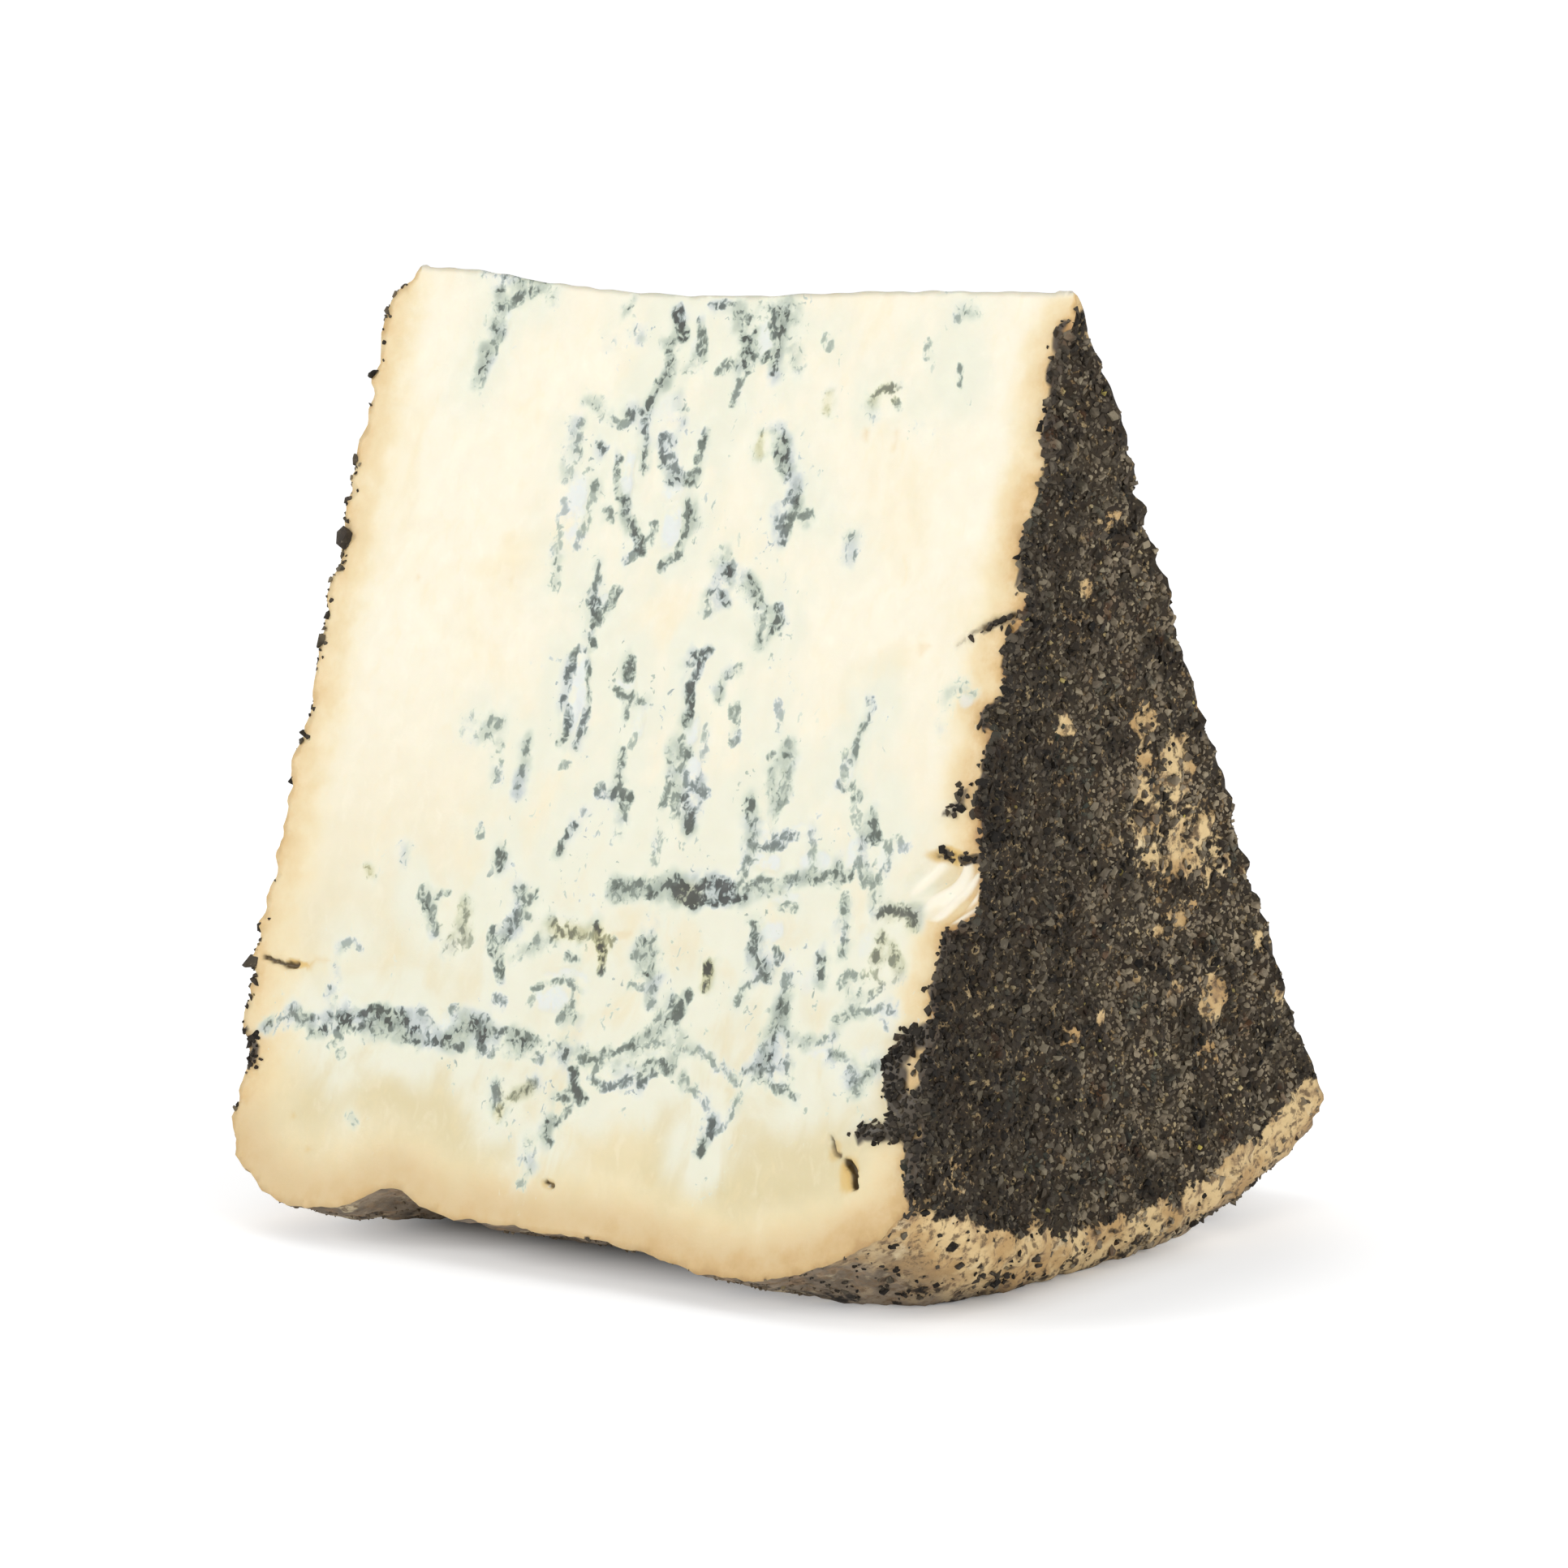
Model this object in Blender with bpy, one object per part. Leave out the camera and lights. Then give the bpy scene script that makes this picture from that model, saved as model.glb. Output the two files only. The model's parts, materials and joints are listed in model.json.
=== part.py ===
"""A wedge of blue cheese, cut from a drum-shaped wheel and stood on its rind.

The wedge keeps the wheel's geometry. The wheel's centre line is the sharp ridge on top, the
two cut faces run down from it, the wheel's flat faces are the crumb-coated ends at -X and +X,
and the wheel's rim is the rounded rind that it stands on. A place on it is given as (x,
radius, angle): along the wheel's centre line, out from it, and round it from straight down,
with the front cut face at a negative angle. Metres, +Z up, origin under the middle of the
wedge on the surface that it stands on.
"""

import collections
import math
import random

import bmesh
import bpy
from mathutils import Matrix, Vector, noise
from mathutils.geometry import delaunay_2d_cdt

# Wheel and cut
WHEEL_RADIUS = 0.1103
LEFT_END = -0.0490
RIGHT_END = 0.0478
FRONT_ANGLE = -math.radians(18.7)
BACK_ANGLE = math.radians(25.5)
SETTLED_DEPTH = 0.0013

# Where the ridge lies over the middle of the wedge
RIDGE_X = 0.0004
RIDGE_Y = -0.0070
RIDGE_HEIGHT = WHEEL_RADIUS - SETTLED_DEPTH

# Rounding of the rind where the ends meet the rim and the ridge: (along x, along the radius).
# The right end's is rounder by the front cut than behind it.
LEFT_RIM_ROUND = (0.0140, 0.0105)
RIGHT_FRONT_ROUND = (0.0195, 0.0118)
RIGHT_BACK_ROUND = (0.0168, 0.0091)
LEFT_RIDGE_ROUND = (0.0042, 0.0058)
RIGHT_RIDGE_ROUND = (0.0022, 0.0024)
LEFT_RIM_POWER = 2.0
RIGHT_FRONT_POWER = 1.7
RIGHT_BACK_POWER = 1.84
RIDGE_POWER = 2.0
ROUND_REACH = math.radians(10.0)

# How far the soft rim has spread towards the back: all of it, and its right end along x and
# along the radius
RIM_SPREAD = 0.0019
RIM_SPREAD_ANGLES = (-math.radians(10.0), math.radians(22.8))
RIGHT_SPREAD = (0.0037, 0.0040)
RIGHT_SPREAD_X = 0.0300
RIGHT_SPREAD_WIDTH = 0.0050

# Swells of the rim by the front cut: (x, half width, height)
RIM_SWELLS = (
    (-0.0240, 0.0040, -0.0032),
    (-0.0010, 0.0150, -0.0015),
    (0.0250, 0.0050, 0.0006),
)
RIM_SWELL_REACH = math.radians(9.0)
RIM_ROUGHNESS = 0.0006
RIM_ROUGHNESS_SIZE = 0.018

# Height of the ridge line: a raised left end and a long shallow sag
RIDGE_RAISE = 0.0016
RIDGE_RAISE_X = -0.0310
RIDGE_RAISE_WIDTH = 0.0040
RIDGE_SAG = (-0.0030, 0.0150, -0.0012)
RIDGE_REACH = 0.030

# Coat of crumbs on the rind
CRUMB_STEP = 0.00225
COAT_THICKNESS = 0.0011
CRUMB_HEIGHT = 0.0014
CRUMB_DRIFT = 0.28
RIM_COVER = 0.45
BARE_BAND_RADIUS = 0.1015
BARE_BAND_WAVE = 0.0016
BARE_BAND_WAVES = 23.0
COAT_FADE_RADIUS = 0.014

# Places on the right end where the coat has come off: (radius, angle, half height, half width)
BARE_PATCHES = (
    (0.0630, math.radians(9.5), 0.0030, 0.0026),
    (0.0560, math.radians(14.5), 0.0048, 0.0026),
    (0.0590, math.radians(18.5), 0.0036, 0.0034),
    (0.0680, math.radians(17.5), 0.0030, 0.0050),
    (0.0740, math.radians(14.0), 0.0016, 0.0050),
    (0.0875, math.radians(16.5), 0.0036, 0.0036),
    (0.0860, math.radians(21.0), 0.0034, 0.0026),
    (0.0960, math.radians(16.0), 0.0018, 0.0050),
    (0.0470, math.radians(-3.0), 0.0016, 0.0016),
)
SMALL_BARE_PATCHES = 9

# Lumps of crumbs at the back corner of the right end: (radius, angle, half width, height)
COAT_LUMPS = (
    (0.0380, math.radians(25.0), 0.0030, 0.0014),
    (0.0660, math.radians(25.0), 0.0060, 0.0007),
    (0.0830, math.radians(24.5), 0.0050, 0.0008),
)

# Relief of the cut faces
CUT_STEP = 0.0052
CUT_SPACING = 0.0023
CUT_MARGIN = 0.0024
FINE_SPACING = 0.00055
FINE_MARGIN = 0.0011
FLAT_TOLERANCE = 1e-7
CUT_WAVE = 0.00035
CUT_WAVE_SIZE = 0.028
CUT_FADE_RADIUS = 0.006
CHIP_CENTRE = (0.0460, 0.0662)
CHIP_HALF = (0.0058, 0.0040)
CHIP_DEPTH = 0.0016
CHIP_STEP = 0.0017
CHIP_COLUMNS = 4
CHIP_ROWS = 3

# Cracks in the front cut face, as points (x, radius) from the rind inwards
CRACKS = (
    ((-0.0480, 0.0818), (-0.0452, 0.0828), (-0.0405, 0.0819)),
    ((0.0468, 0.0356), (0.0430, 0.0372), (0.0385, 0.0402)),
    ((0.0466, 0.0612), (0.0420, 0.0624), (0.0375, 0.0616)),
)
CRACK_HALF_WIDTH = 0.0007
CRACK_DEPTH = 0.0012
CRACK_STEP = 0.0016

# Crumbs that spilled onto the front cut face: (x, radius, half width, half height, count)
SPILLS = (
    (0.0455, 0.0855, 0.0026, 0.0040, 12),
    (0.0435, 0.0930, 0.0030, 0.0008, 6),
    (0.0450, 0.0575, 0.0008, 0.0010, 2),
)
LARGE_CRUMBS = 46
LARGE_CRUMB_RADIUS = (0.0009, 0.0015)
SPILLED_CRUMB_RADIUS = (0.0008, 0.0013)
SPILL_RISE = 0.15
CLEAR_OF_FLOOR = 0.004

NOISE_OFFSET = 7.3
SEED = 41

# A vertex of the coat, its share of the way from the front cut to the back one, its place
# (x, radius) and how far it stands off the rind
Spot = collections.namedtuple("Spot", "vertex share place lift")


def clear_scene():
    for item in list(bpy.data.objects):
        bpy.data.objects.remove(item, do_unlink=True)


def bell(value, centre, half_width):
    return math.exp(-0.5 * ((value - centre) / half_width) ** 2)


def smooth_step(low, high, value):
    share = min(max((value - low) / (high - low), 0.0), 1.0)
    return share * share * (3.0 - 2.0 * share)


def ridge_lift(x):
    raise_weight = 1.0 / (1.0 + math.exp((x - RIDGE_RAISE_X) / RIDGE_RAISE_WIDTH))
    centre, half_width, height = RIDGE_SAG
    return RIDGE_RAISE * raise_weight + height * bell(x, centre, half_width)


def wedge_point(x, radius, angle):
    """The place in the world of a place on the wheel, never below the surface it stands on."""
    lift = ridge_lift(x) * math.exp(-radius / RIDGE_REACH)
    height = RIDGE_HEIGHT - radius * math.cos(angle) + lift
    return Vector((RIDGE_X + x, RIDGE_Y + radius * math.sin(angle), max(height, 0.0)))


def corner(centre, reach, power, start, end, steps):
    """Points (x, radius) round one corner of the outline, from one quarter turn to the next."""
    points = []
    for step in range(steps + 1):
        turn = start + (end - start) * step / steps
        across = math.copysign(abs(math.cos(turn)) ** (2.0 / power), math.cos(turn))
        along = math.copysign(abs(math.sin(turn)) ** (2.0 / power), math.sin(turn))
        points.append((centre[0] + reach[0] * across, centre[1] + reach[1] * along))
    return points


def rind_outline(right_round, right_power):
    """The rind from the ridge down the left end, along the rim and up the right end."""
    steps = 12
    quarter = math.pi / 2.0
    corners = (
        ((LEFT_END + LEFT_RIDGE_ROUND[0], LEFT_RIDGE_ROUND[1]), LEFT_RIDGE_ROUND,
         RIDGE_POWER, 3.0 * quarter, 2.0 * quarter),
        ((LEFT_END + LEFT_RIM_ROUND[0], WHEEL_RADIUS - LEFT_RIM_ROUND[1]), LEFT_RIM_ROUND,
         LEFT_RIM_POWER, 2.0 * quarter, quarter),
        ((RIGHT_END - right_round[0], WHEEL_RADIUS - right_round[1]), right_round,
         right_power, quarter, 0.0),
        ((RIGHT_END - RIGHT_RIDGE_ROUND[0], RIGHT_RIDGE_ROUND[1]), RIGHT_RIDGE_ROUND,
         RIDGE_POWER, 0.0, -quarter),
    )
    points = []
    for centre, reach, power, start, end in corners:
        points.extend(corner(centre, reach, power, start, end, steps))
    return points


def evenly_spaced(points, count):
    """Places on the same line that split it in equal parts, each with its outward normal."""
    lengths = [0.0]
    for first, second in zip(points, points[1:]):
        lengths.append(lengths[-1] + math.dist(first, second))
    placed = []
    segment = 0
    for index in range(count + 1):
        wanted = lengths[-1] * index / count
        while segment < len(points) - 2 and lengths[segment + 1] < wanted:
            segment += 1
        span = lengths[segment + 1] - lengths[segment]
        share = (wanted - lengths[segment]) / span
        start, end = points[segment], points[segment + 1]
        along = ((end[0] - start[0]) / span, (end[1] - start[1]) / span)
        place = (start[0] + share * (end[0] - start[0]), start[1] + share * (end[1] - start[1]))
        placed.append((place, (-along[1], along[0])))
    return placed


def outline_lines():
    """The outline by the front cut and the one behind it, point for point."""
    front = rind_outline(RIGHT_FRONT_ROUND, RIGHT_FRONT_POWER)
    back = rind_outline(RIGHT_BACK_ROUND, RIGHT_BACK_POWER)
    length = sum(math.dist(first, second) for first, second in zip(front, front[1:]))
    count = round(length / CRUMB_STEP)
    return list(zip(evenly_spaced(front, count), evenly_spaced(back, count)))


def between(front, back, angle):
    """The outline's place (x, radius) and normal at one angle, from the front and back ones."""
    share = smooth_step(FRONT_ANGLE, FRONT_ANGLE + ROUND_REACH, angle)
    place, normal = (
        tuple(near + share * (far - near) for near, far in zip(front[part], back[part]))
        for part in (0, 1)
    )
    return place, normal


def rim_share(radius):
    """How much of the rim's own form reaches up the ends: all of it at the rim."""
    return (radius / WHEEL_RADIUS) ** 8


def right_share(x):
    return 1.0 / (1.0 + math.exp((RIGHT_SPREAD_X - x) / RIGHT_SPREAD_WIDTH))


def rim_swell(x, radius, angle):
    """How far the rim stands out from a true circle, fading to nothing up the ends."""
    swell = sum(height * bell(x, centre, width) for centre, width, height in RIM_SWELLS)
    swell *= bell(angle, FRONT_ANGLE, RIM_SWELL_REACH)
    place = Vector((x, angle * WHEEL_RADIUS, NOISE_OFFSET)) / RIM_ROUGHNESS_SIZE
    swell += RIM_ROUGHNESS * noise.noise(place)
    swell += RIM_SPREAD * smooth_step(*RIM_SPREAD_ANGLES, angle)
    behind = smooth_step(FRONT_ANGLE, FRONT_ANGLE + ROUND_REACH, angle)
    swell += RIGHT_SPREAD[1] * right_share(x) * behind
    return swell * rim_share(radius)


def rim_flare(x, radius, angle):
    """How far the rim's right end leans out along x, more and more towards the back."""
    towards_back = min(max(angle / BACK_ANGLE, 0.0), 1.0)
    return RIGHT_SPREAD[0] * right_share(x) * towards_back * rim_share(radius)


def is_bare(x, radius, angle, patches, draw):
    """Whether the rind shows here: in a patch, or between the sparse crumbs by the rim."""
    side = 1.0 if x > 0.0 else -1.0
    if radius > BARE_BAND_RADIUS + side * BARE_BAND_WAVE * math.sin(angle * BARE_BAND_WAVES):
        return draw.random() > RIM_COVER
    for patch_side, patch_radius, patch_angle, half_height, half_width in patches:
        across = radius * (angle - patch_angle) / half_width
        down = (radius - patch_radius) / half_height
        if side == patch_side and across * across + down * down < 1.0:
            return True
    return False


def coat_lift(x, radius, angle, patches, draw):
    """Height of the crumbs over the rind at one place."""
    height = draw.random()
    if is_bare(x, radius, angle, patches, draw):
        return 0.0
    lift = COAT_THICKNESS + CRUMB_HEIGHT * (height - 0.5)
    if x > 0.0:
        for lump_radius, lump_angle, half_width, lump_height in COAT_LUMPS:
            away = math.hypot(radius - lump_radius, radius * (angle - lump_angle))
            lift += lump_height * bell(away, 0.0, half_width)
    return lift


def distance_to_line(place, line):
    """Distance from a place (x, radius) to a line of such points."""
    best = math.inf
    for start, end in zip(line, line[1:]):
        span = (end[0] - start[0], end[1] - start[1])
        share = (place[0] - start[0]) * span[0] + (place[1] - start[1]) * span[1]
        share = min(max(share / (span[0] ** 2 + span[1] ** 2), 0.0), 1.0)
        near = (start[0] + share * span[0], start[1] + share * span[1])
        best = min(best, math.dist(place, near))
    return best


def cut_depth(x, radius, is_front):
    """How far the cut face lies inside its plane: slow waves, a torn chip and the cracks."""
    side = 1.0 if is_front else -1.0
    depth = CUT_WAVE * noise.noise(Vector((x, radius, side * NOISE_OFFSET)) / CUT_WAVE_SIZE)
    if is_front:
        across = (x - CHIP_CENTRE[0]) / CHIP_HALF[0]
        down = (radius - CHIP_CENTRE[1]) / CHIP_HALF[1]
        depth += CHIP_DEPTH * max(0.0, 1.0 - across * across - down * down)
        for crack in CRACKS:
            away = distance_to_line((x, radius), crack)
            depth += CRACK_DEPTH * max(0.0, 1.0 - away / CRACK_HALF_WIDTH)
    return depth * min(1.0, radius / CUT_FADE_RADIUS)


def cut_point(x, radius, is_front):
    """A place on a cut face, moved in from its plane by the relief."""
    angle = FRONT_ANGLE if is_front else BACK_ANGLE
    inward = Vector((0.0, math.cos(angle), math.sin(angle))) * (1.0 if is_front else -1.0)
    moved = wedge_point(x, radius, angle) + inward * cut_depth(x, radius, is_front)
    moved.z = max(moved.z, 0.0)
    return moved


def all_bare_patches(draw):
    """The named bare patches, and small ones scattered over both ends, each with its side."""
    patches = [(1.0,) + patch for patch in BARE_PATCHES]
    for index in range(SMALL_BARE_PATCHES):
        radius = draw.uniform(0.30, 0.90) * WHEEL_RADIUS
        angle = draw.uniform(FRONT_ANGLE, BACK_ANGLE)
        half_size = draw.uniform(1.0, 2.2) * CRUMB_STEP
        side = 1.0 if index % 3 == 0 else -1.0
        patches.append((side, radius, angle, half_size, half_size))
    return patches


def coat_spot(mesh, outline_points, share, drift, patches, draw):
    """One vertex of the coat; the first and the last of a row lie on the cut faces."""
    angle = FRONT_ANGLE + share * (BACK_ANGLE - FRONT_ANGLE)
    (x, radius), (normal_x, normal_radius) = between(*outline_points, angle)
    lift = coat_lift(x, radius, angle, patches, draw) * min(1.0, radius / COAT_FADE_RADIUS)
    place_x = x + normal_x * lift - normal_radius * drift + rim_flare(x, radius, angle)
    place_radius = radius + normal_radius * lift + normal_x * drift + rim_swell(x, radius, angle)
    if share in (0.0, 1.0) and radius > CRUMB_STEP:
        position = cut_point(place_x, place_radius, share == 0.0)
    else:
        position = wedge_point(place_x, place_radius, angle)
    return Spot(mesh.verts.new(position), share, (place_x, place_radius), lift)


def coat_rows(mesh, draw):
    """Rows of spots round the rind: each row runs through the wedge's angle."""
    patches = all_bare_patches(draw)
    rows = []
    for outline_points in outline_lines():
        radius = outline_points[0][0][1]
        count = max(1, round(radius * (BACK_ANGLE - FRONT_ANGLE) / CRUMB_STEP))
        row = [coat_spot(mesh, outline_points, 0.0, 0.0, patches, draw)]
        if radius > CRUMB_STEP:
            for index in range(1, count):
                share = (index + draw.uniform(-CRUMB_DRIFT, CRUMB_DRIFT)) / count
                drift = draw.uniform(-CRUMB_DRIFT, CRUMB_DRIFT) * CRUMB_STEP
                row.append(coat_spot(mesh, outline_points, share, drift, patches, draw))
            row.append(coat_spot(mesh, outline_points, 1.0, 0.0, patches, draw))
        rows.append(row)
    return rows


def zip_rows(mesh, first, second):
    """Triangles between two rows, taken in turn from whichever row is behind."""
    i = 0
    j = 0
    while i < len(first) - 1 or j < len(second) - 1:
        ahead_first = first[i + 1].share if i < len(first) - 1 else math.inf
        ahead_second = second[j + 1].share if j < len(second) - 1 else math.inf
        if ahead_first <= ahead_second:
            mesh.faces.new((first[i].vertex, second[j].vertex, first[i + 1].vertex))
            i += 1
        else:
            mesh.faces.new((first[i].vertex, second[j].vertex, second[j + 1].vertex))
            j += 1


def ridge_spots(mesh, left, right):
    """Spots along the ridge between the two ends."""
    count = round((right - left) / CUT_STEP)
    ridge = []
    for index in range(1, count):
        x = left + (right - left) * index / count
        ridge.append(Spot(mesh.verts.new(wedge_point(x, 0.0, 0.0)), 0.0, (x, 0.0), 0.0))
    return ridge


def crack_places():
    """Points that carry the floor and both lips of each crack."""
    places = []
    for crack in CRACKS:
        for start, end in zip(crack, crack[1:]):
            length = math.dist(start, end)
            across = ((start[1] - end[1]) / length, (end[0] - start[0]) / length)
            count = max(1, round(length / CRACK_STEP))
            for index in range(count + 1):
                share = index / count
                middle = (start[0] + share * (end[0] - start[0]),
                          start[1] + share * (end[1] - start[1]))
                for offset in (-CRACK_HALF_WIDTH, 0.0, CRACK_HALF_WIDTH):
                    places.append((middle[0] + offset * across[0], middle[1] + offset * across[1]))
    return places


def chip_places():
    """An even scatter of points over the torn chip."""
    columns = range(-CHIP_COLUMNS, CHIP_COLUMNS + 1)
    rows = range(-CHIP_ROWS, CHIP_ROWS + 1)
    return [(CHIP_CENTRE[0] + column * CHIP_STEP, CHIP_CENTRE[1] + row * CHIP_STEP)
            for row in rows for column in columns]


def open_places(draw):
    """A coarse uneven scatter of points over the whole cut face."""
    places = []
    rows = round(WHEEL_RADIUS / CUT_STEP)
    columns = round((RIGHT_END - LEFT_END) / CUT_STEP)
    for row in range(1, rows):
        for column in range(columns):
            x = LEFT_END + (column + 0.5 * (row % 2) + draw.uniform(-0.2, 0.2)) * CUT_STEP
            radius = WHEEL_RADIUS * row / rows + draw.uniform(-0.2, 0.2) * CUT_STEP
            places.append((x, radius))
    return places


def keep_apart(places, kept, spacing, margin, outline):
    """The kept places, and those of the others that are clear of them and of the outline."""
    closed = outline + outline[:1]
    result = list(kept)
    for place in places:
        is_clear = all(math.dist(place, other) > spacing for other in result)
        if is_clear and inside(place, outline) and distance_to_line(place, closed) > margin:
            result.append(place)
    return result


def inside(place, outline):
    """Whether a place lies inside a closed outline, by counting the sides to one side of it."""
    crossings = 0
    for start, end in zip(outline, outline[1:] + outline[:1]):
        if (start[1] > place[1]) != (end[1] > place[1]):
            share = (place[1] - start[1]) / (end[1] - start[1])
            if start[0] + share * (end[0] - start[0]) > place[0]:
                crossings += 1
    return crossings % 2 == 1


def close_cut_face(mesh, rows, ridge, is_front, draw):
    """Fill one cut face between the ridge and the ends of the rows."""
    loop = [row[0 if is_front else -1] for row in rows] + list(reversed(ridge))
    outline = [spot.place for spot in loop]
    places = []
    if is_front:
        fine = crack_places() + chip_places()
        places = keep_apart(fine, places, FINE_SPACING, FINE_MARGIN, outline)
    places = keep_apart(open_places(draw), places, CUT_SPACING, CUT_MARGIN, outline)
    added = [mesh.verts.new(cut_point(x, radius, is_front)) for x, radius in places]
    vertices = [spot.vertex for spot in loop] + added
    flat = [Vector(place) for place in outline + places]
    keep_inside = 1
    result = delaunay_2d_cdt(flat, [], [list(range(len(outline)))], keep_inside, FLAT_TOLERANCE)
    faces, origins = result[2], result[3]
    for corners in faces:
        mesh.faces.new([vertices[origins[index][0]] for index in corners])


def wedge_body(draw):
    """The wedge as one closed mesh, and the places on it that can carry a large crumb."""
    mesh = bmesh.new()
    rows = coat_rows(mesh, draw)
    for first, second in zip(rows, rows[1:]):
        zip_rows(mesh, first, second)
    ridge = ridge_spots(mesh, rows[0][0].place[0], rows[-1][0].place[0])
    close_cut_face(mesh, rows, ridge, True, draw)
    close_cut_face(mesh, rows, ridge, False, draw)
    bmesh.ops.recalc_face_normals(mesh, faces=mesh.faces)
    return mesh, coat_spots(rows)


def crumb_mesh(name, radius, centre, draw):
    """One crumb: a squeezed and turned icosahedron with uneven corners."""
    mesh = bmesh.new()
    bmesh.ops.create_icosphere(mesh, subdivisions=1, radius=radius)
    for vertex in mesh.verts:
        vertex.co *= draw.uniform(0.80, 1.20)
    turn = Matrix.Rotation(draw.uniform(0.0, math.tau), 4, Vector((draw.random(), draw.random(), 1.0)))
    squeeze = Matrix.Diagonal((1.0, draw.uniform(0.7, 0.9), draw.uniform(0.55, 0.75), 1.0))
    bmesh.ops.transform(mesh, matrix=Matrix.Translation(centre) @ turn @ squeeze, verts=mesh.verts)
    data = bpy.data.meshes.new(name)
    mesh.to_mesh(data)
    mesh.free()
    return bpy.data.objects.new(name, data)


def coat_spots(rows):
    """Places on the coat, away from the cut faces and the floor, that can carry a large crumb."""
    spots = []
    for row in rows:
        for spot in row[2:-2]:
            if spot.lift > COAT_THICKNESS and spot.vertex.co.z > CLEAR_OF_FLOOR:
                spots.append(spot.vertex.co.copy())
    return spots


def crumb_places(spots, draw):
    """Centres and radii of the crumbs that stand clear of the rest, the largest first."""
    places = [(draw.uniform(*LARGE_CRUMB_RADIUS), spot) for spot in draw.sample(spots, LARGE_CRUMBS)]
    for x, radius, half_width, half_height, count in SPILLS:
        for _ in range(count):
            size = draw.uniform(*SPILLED_CRUMB_RADIUS)
            spot = cut_point(x + draw.uniform(-1.0, 1.0) * half_width,
                             radius + draw.uniform(-1.0, 1.0) * half_height, True)
            outward = Vector((0.0, -math.cos(FRONT_ANGLE), -math.sin(FRONT_ANGLE)))
            places.append((size, spot + outward * size * SPILL_RISE))
    return sorted(places, key=lambda item: item[0], reverse=True)


def islands(mesh):
    """The connected sets of vertices of a mesh, the largest first."""
    waiting = set(mesh.verts)
    found = []
    while waiting:
        island = {waiting.pop()}
        edge_of_island = list(island)
        while edge_of_island:
            vertex = edge_of_island.pop()
            for edge in vertex.link_edges:
                neighbour = edge.other_vert(vertex)
                if neighbour not in island:
                    island.add(neighbour)
                    edge_of_island.append(neighbour)
        waiting -= island
        found.append(island)
    return sorted(found, key=len, reverse=True)


def fill_sealed_hollows(data):
    """Fill the small hollows that crumbs close off among themselves, by dropping their walls."""
    mesh = bmesh.new()
    mesh.from_mesh(data)
    for island in islands(mesh)[1:]:
        bmesh.ops.delete(mesh, geom=list(island), context="VERTS")
    mesh.to_mesh(data)
    mesh.free()


def fuse_crumbs(body, spots, draw):
    """Join the largest crumbs to the wedge in one union, and take their objects away."""
    collection = bpy.data.collections.new("large_crumbs")
    bpy.context.scene.collection.children.link(collection)
    for index, (size, centre) in enumerate(crumb_places(spots, draw)):
        collection.objects.link(crumb_mesh(f"crumb_{index}", size, centre, draw))
    union = body.modifiers.new("fused_crumbs", "BOOLEAN")
    union.operation = "UNION"
    union.operand_type = "COLLECTION"
    union.collection = collection
    union.solver = "MANIFOLD"
    bpy.context.view_layer.objects.active = body
    bpy.ops.object.modifier_apply(modifier=union.name)
    for item in list(collection.objects):
        bpy.data.objects.remove(item, do_unlink=True)
    bpy.data.collections.remove(collection)
    fill_sealed_hollows(body.data)


def cheese_material():
    """Cream paste of the cut faces, which is most of what shows."""
    material = bpy.data.materials.new("cheese")
    material.use_nodes = True
    shader = material.node_tree.nodes["Principled BSDF"]
    shader.inputs["Base Color"].default_value = (0.90, 0.82, 0.62, 1.0)
    shader.inputs["Roughness"].default_value = 0.55
    shader.inputs["Metallic"].default_value = 0.0
    return material


def build():
    clear_scene()
    draw = random.Random(SEED)
    mesh, spots = wedge_body(draw)
    data = bpy.data.meshes.new("cheese_wedge")
    mesh.to_mesh(data)
    mesh.free()
    data.materials.append(cheese_material())
    body = bpy.data.objects.new("cheese_wedge", data)
    bpy.context.scene.collection.objects.link(body)
    fuse_crumbs(body, spots, draw)
    return body


build()
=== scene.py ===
"""The looks of a wedge of blue cheese: marbled cream paste, tan rind, a coat of dark crumbs.

Places on the wedge are given as (x, radius, angle): along the wheel's centre line, which is
the ridge on top, out from it, and round it from straight down, with the front cut face at a
negative angle. Marbling is written in millimetres on the face that it shows on, as (x, radius).
"""

import json
import math

import bmesh
import bpy
import numpy as np
from mathutils import Matrix, Vector, noise
from mathutils.geometry import delaunay_2d_cdt

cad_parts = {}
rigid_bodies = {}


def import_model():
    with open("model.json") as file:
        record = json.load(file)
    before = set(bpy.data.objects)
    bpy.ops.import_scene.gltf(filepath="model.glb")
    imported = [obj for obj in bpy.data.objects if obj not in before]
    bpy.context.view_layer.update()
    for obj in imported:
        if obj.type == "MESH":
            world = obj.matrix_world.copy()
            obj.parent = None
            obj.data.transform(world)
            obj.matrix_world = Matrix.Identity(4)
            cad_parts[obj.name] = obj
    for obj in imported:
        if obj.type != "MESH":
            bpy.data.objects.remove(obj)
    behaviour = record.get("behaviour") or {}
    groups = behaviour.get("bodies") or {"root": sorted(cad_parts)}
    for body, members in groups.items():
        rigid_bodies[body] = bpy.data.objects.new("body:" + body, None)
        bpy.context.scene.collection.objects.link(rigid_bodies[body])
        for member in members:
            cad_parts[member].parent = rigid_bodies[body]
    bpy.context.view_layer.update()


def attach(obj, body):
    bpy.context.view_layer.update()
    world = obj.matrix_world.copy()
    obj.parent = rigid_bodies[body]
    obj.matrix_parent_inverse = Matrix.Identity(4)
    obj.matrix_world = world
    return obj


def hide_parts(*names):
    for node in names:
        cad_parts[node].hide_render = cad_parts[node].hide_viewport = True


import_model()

MM = 0.001
SEED = 41

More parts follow.
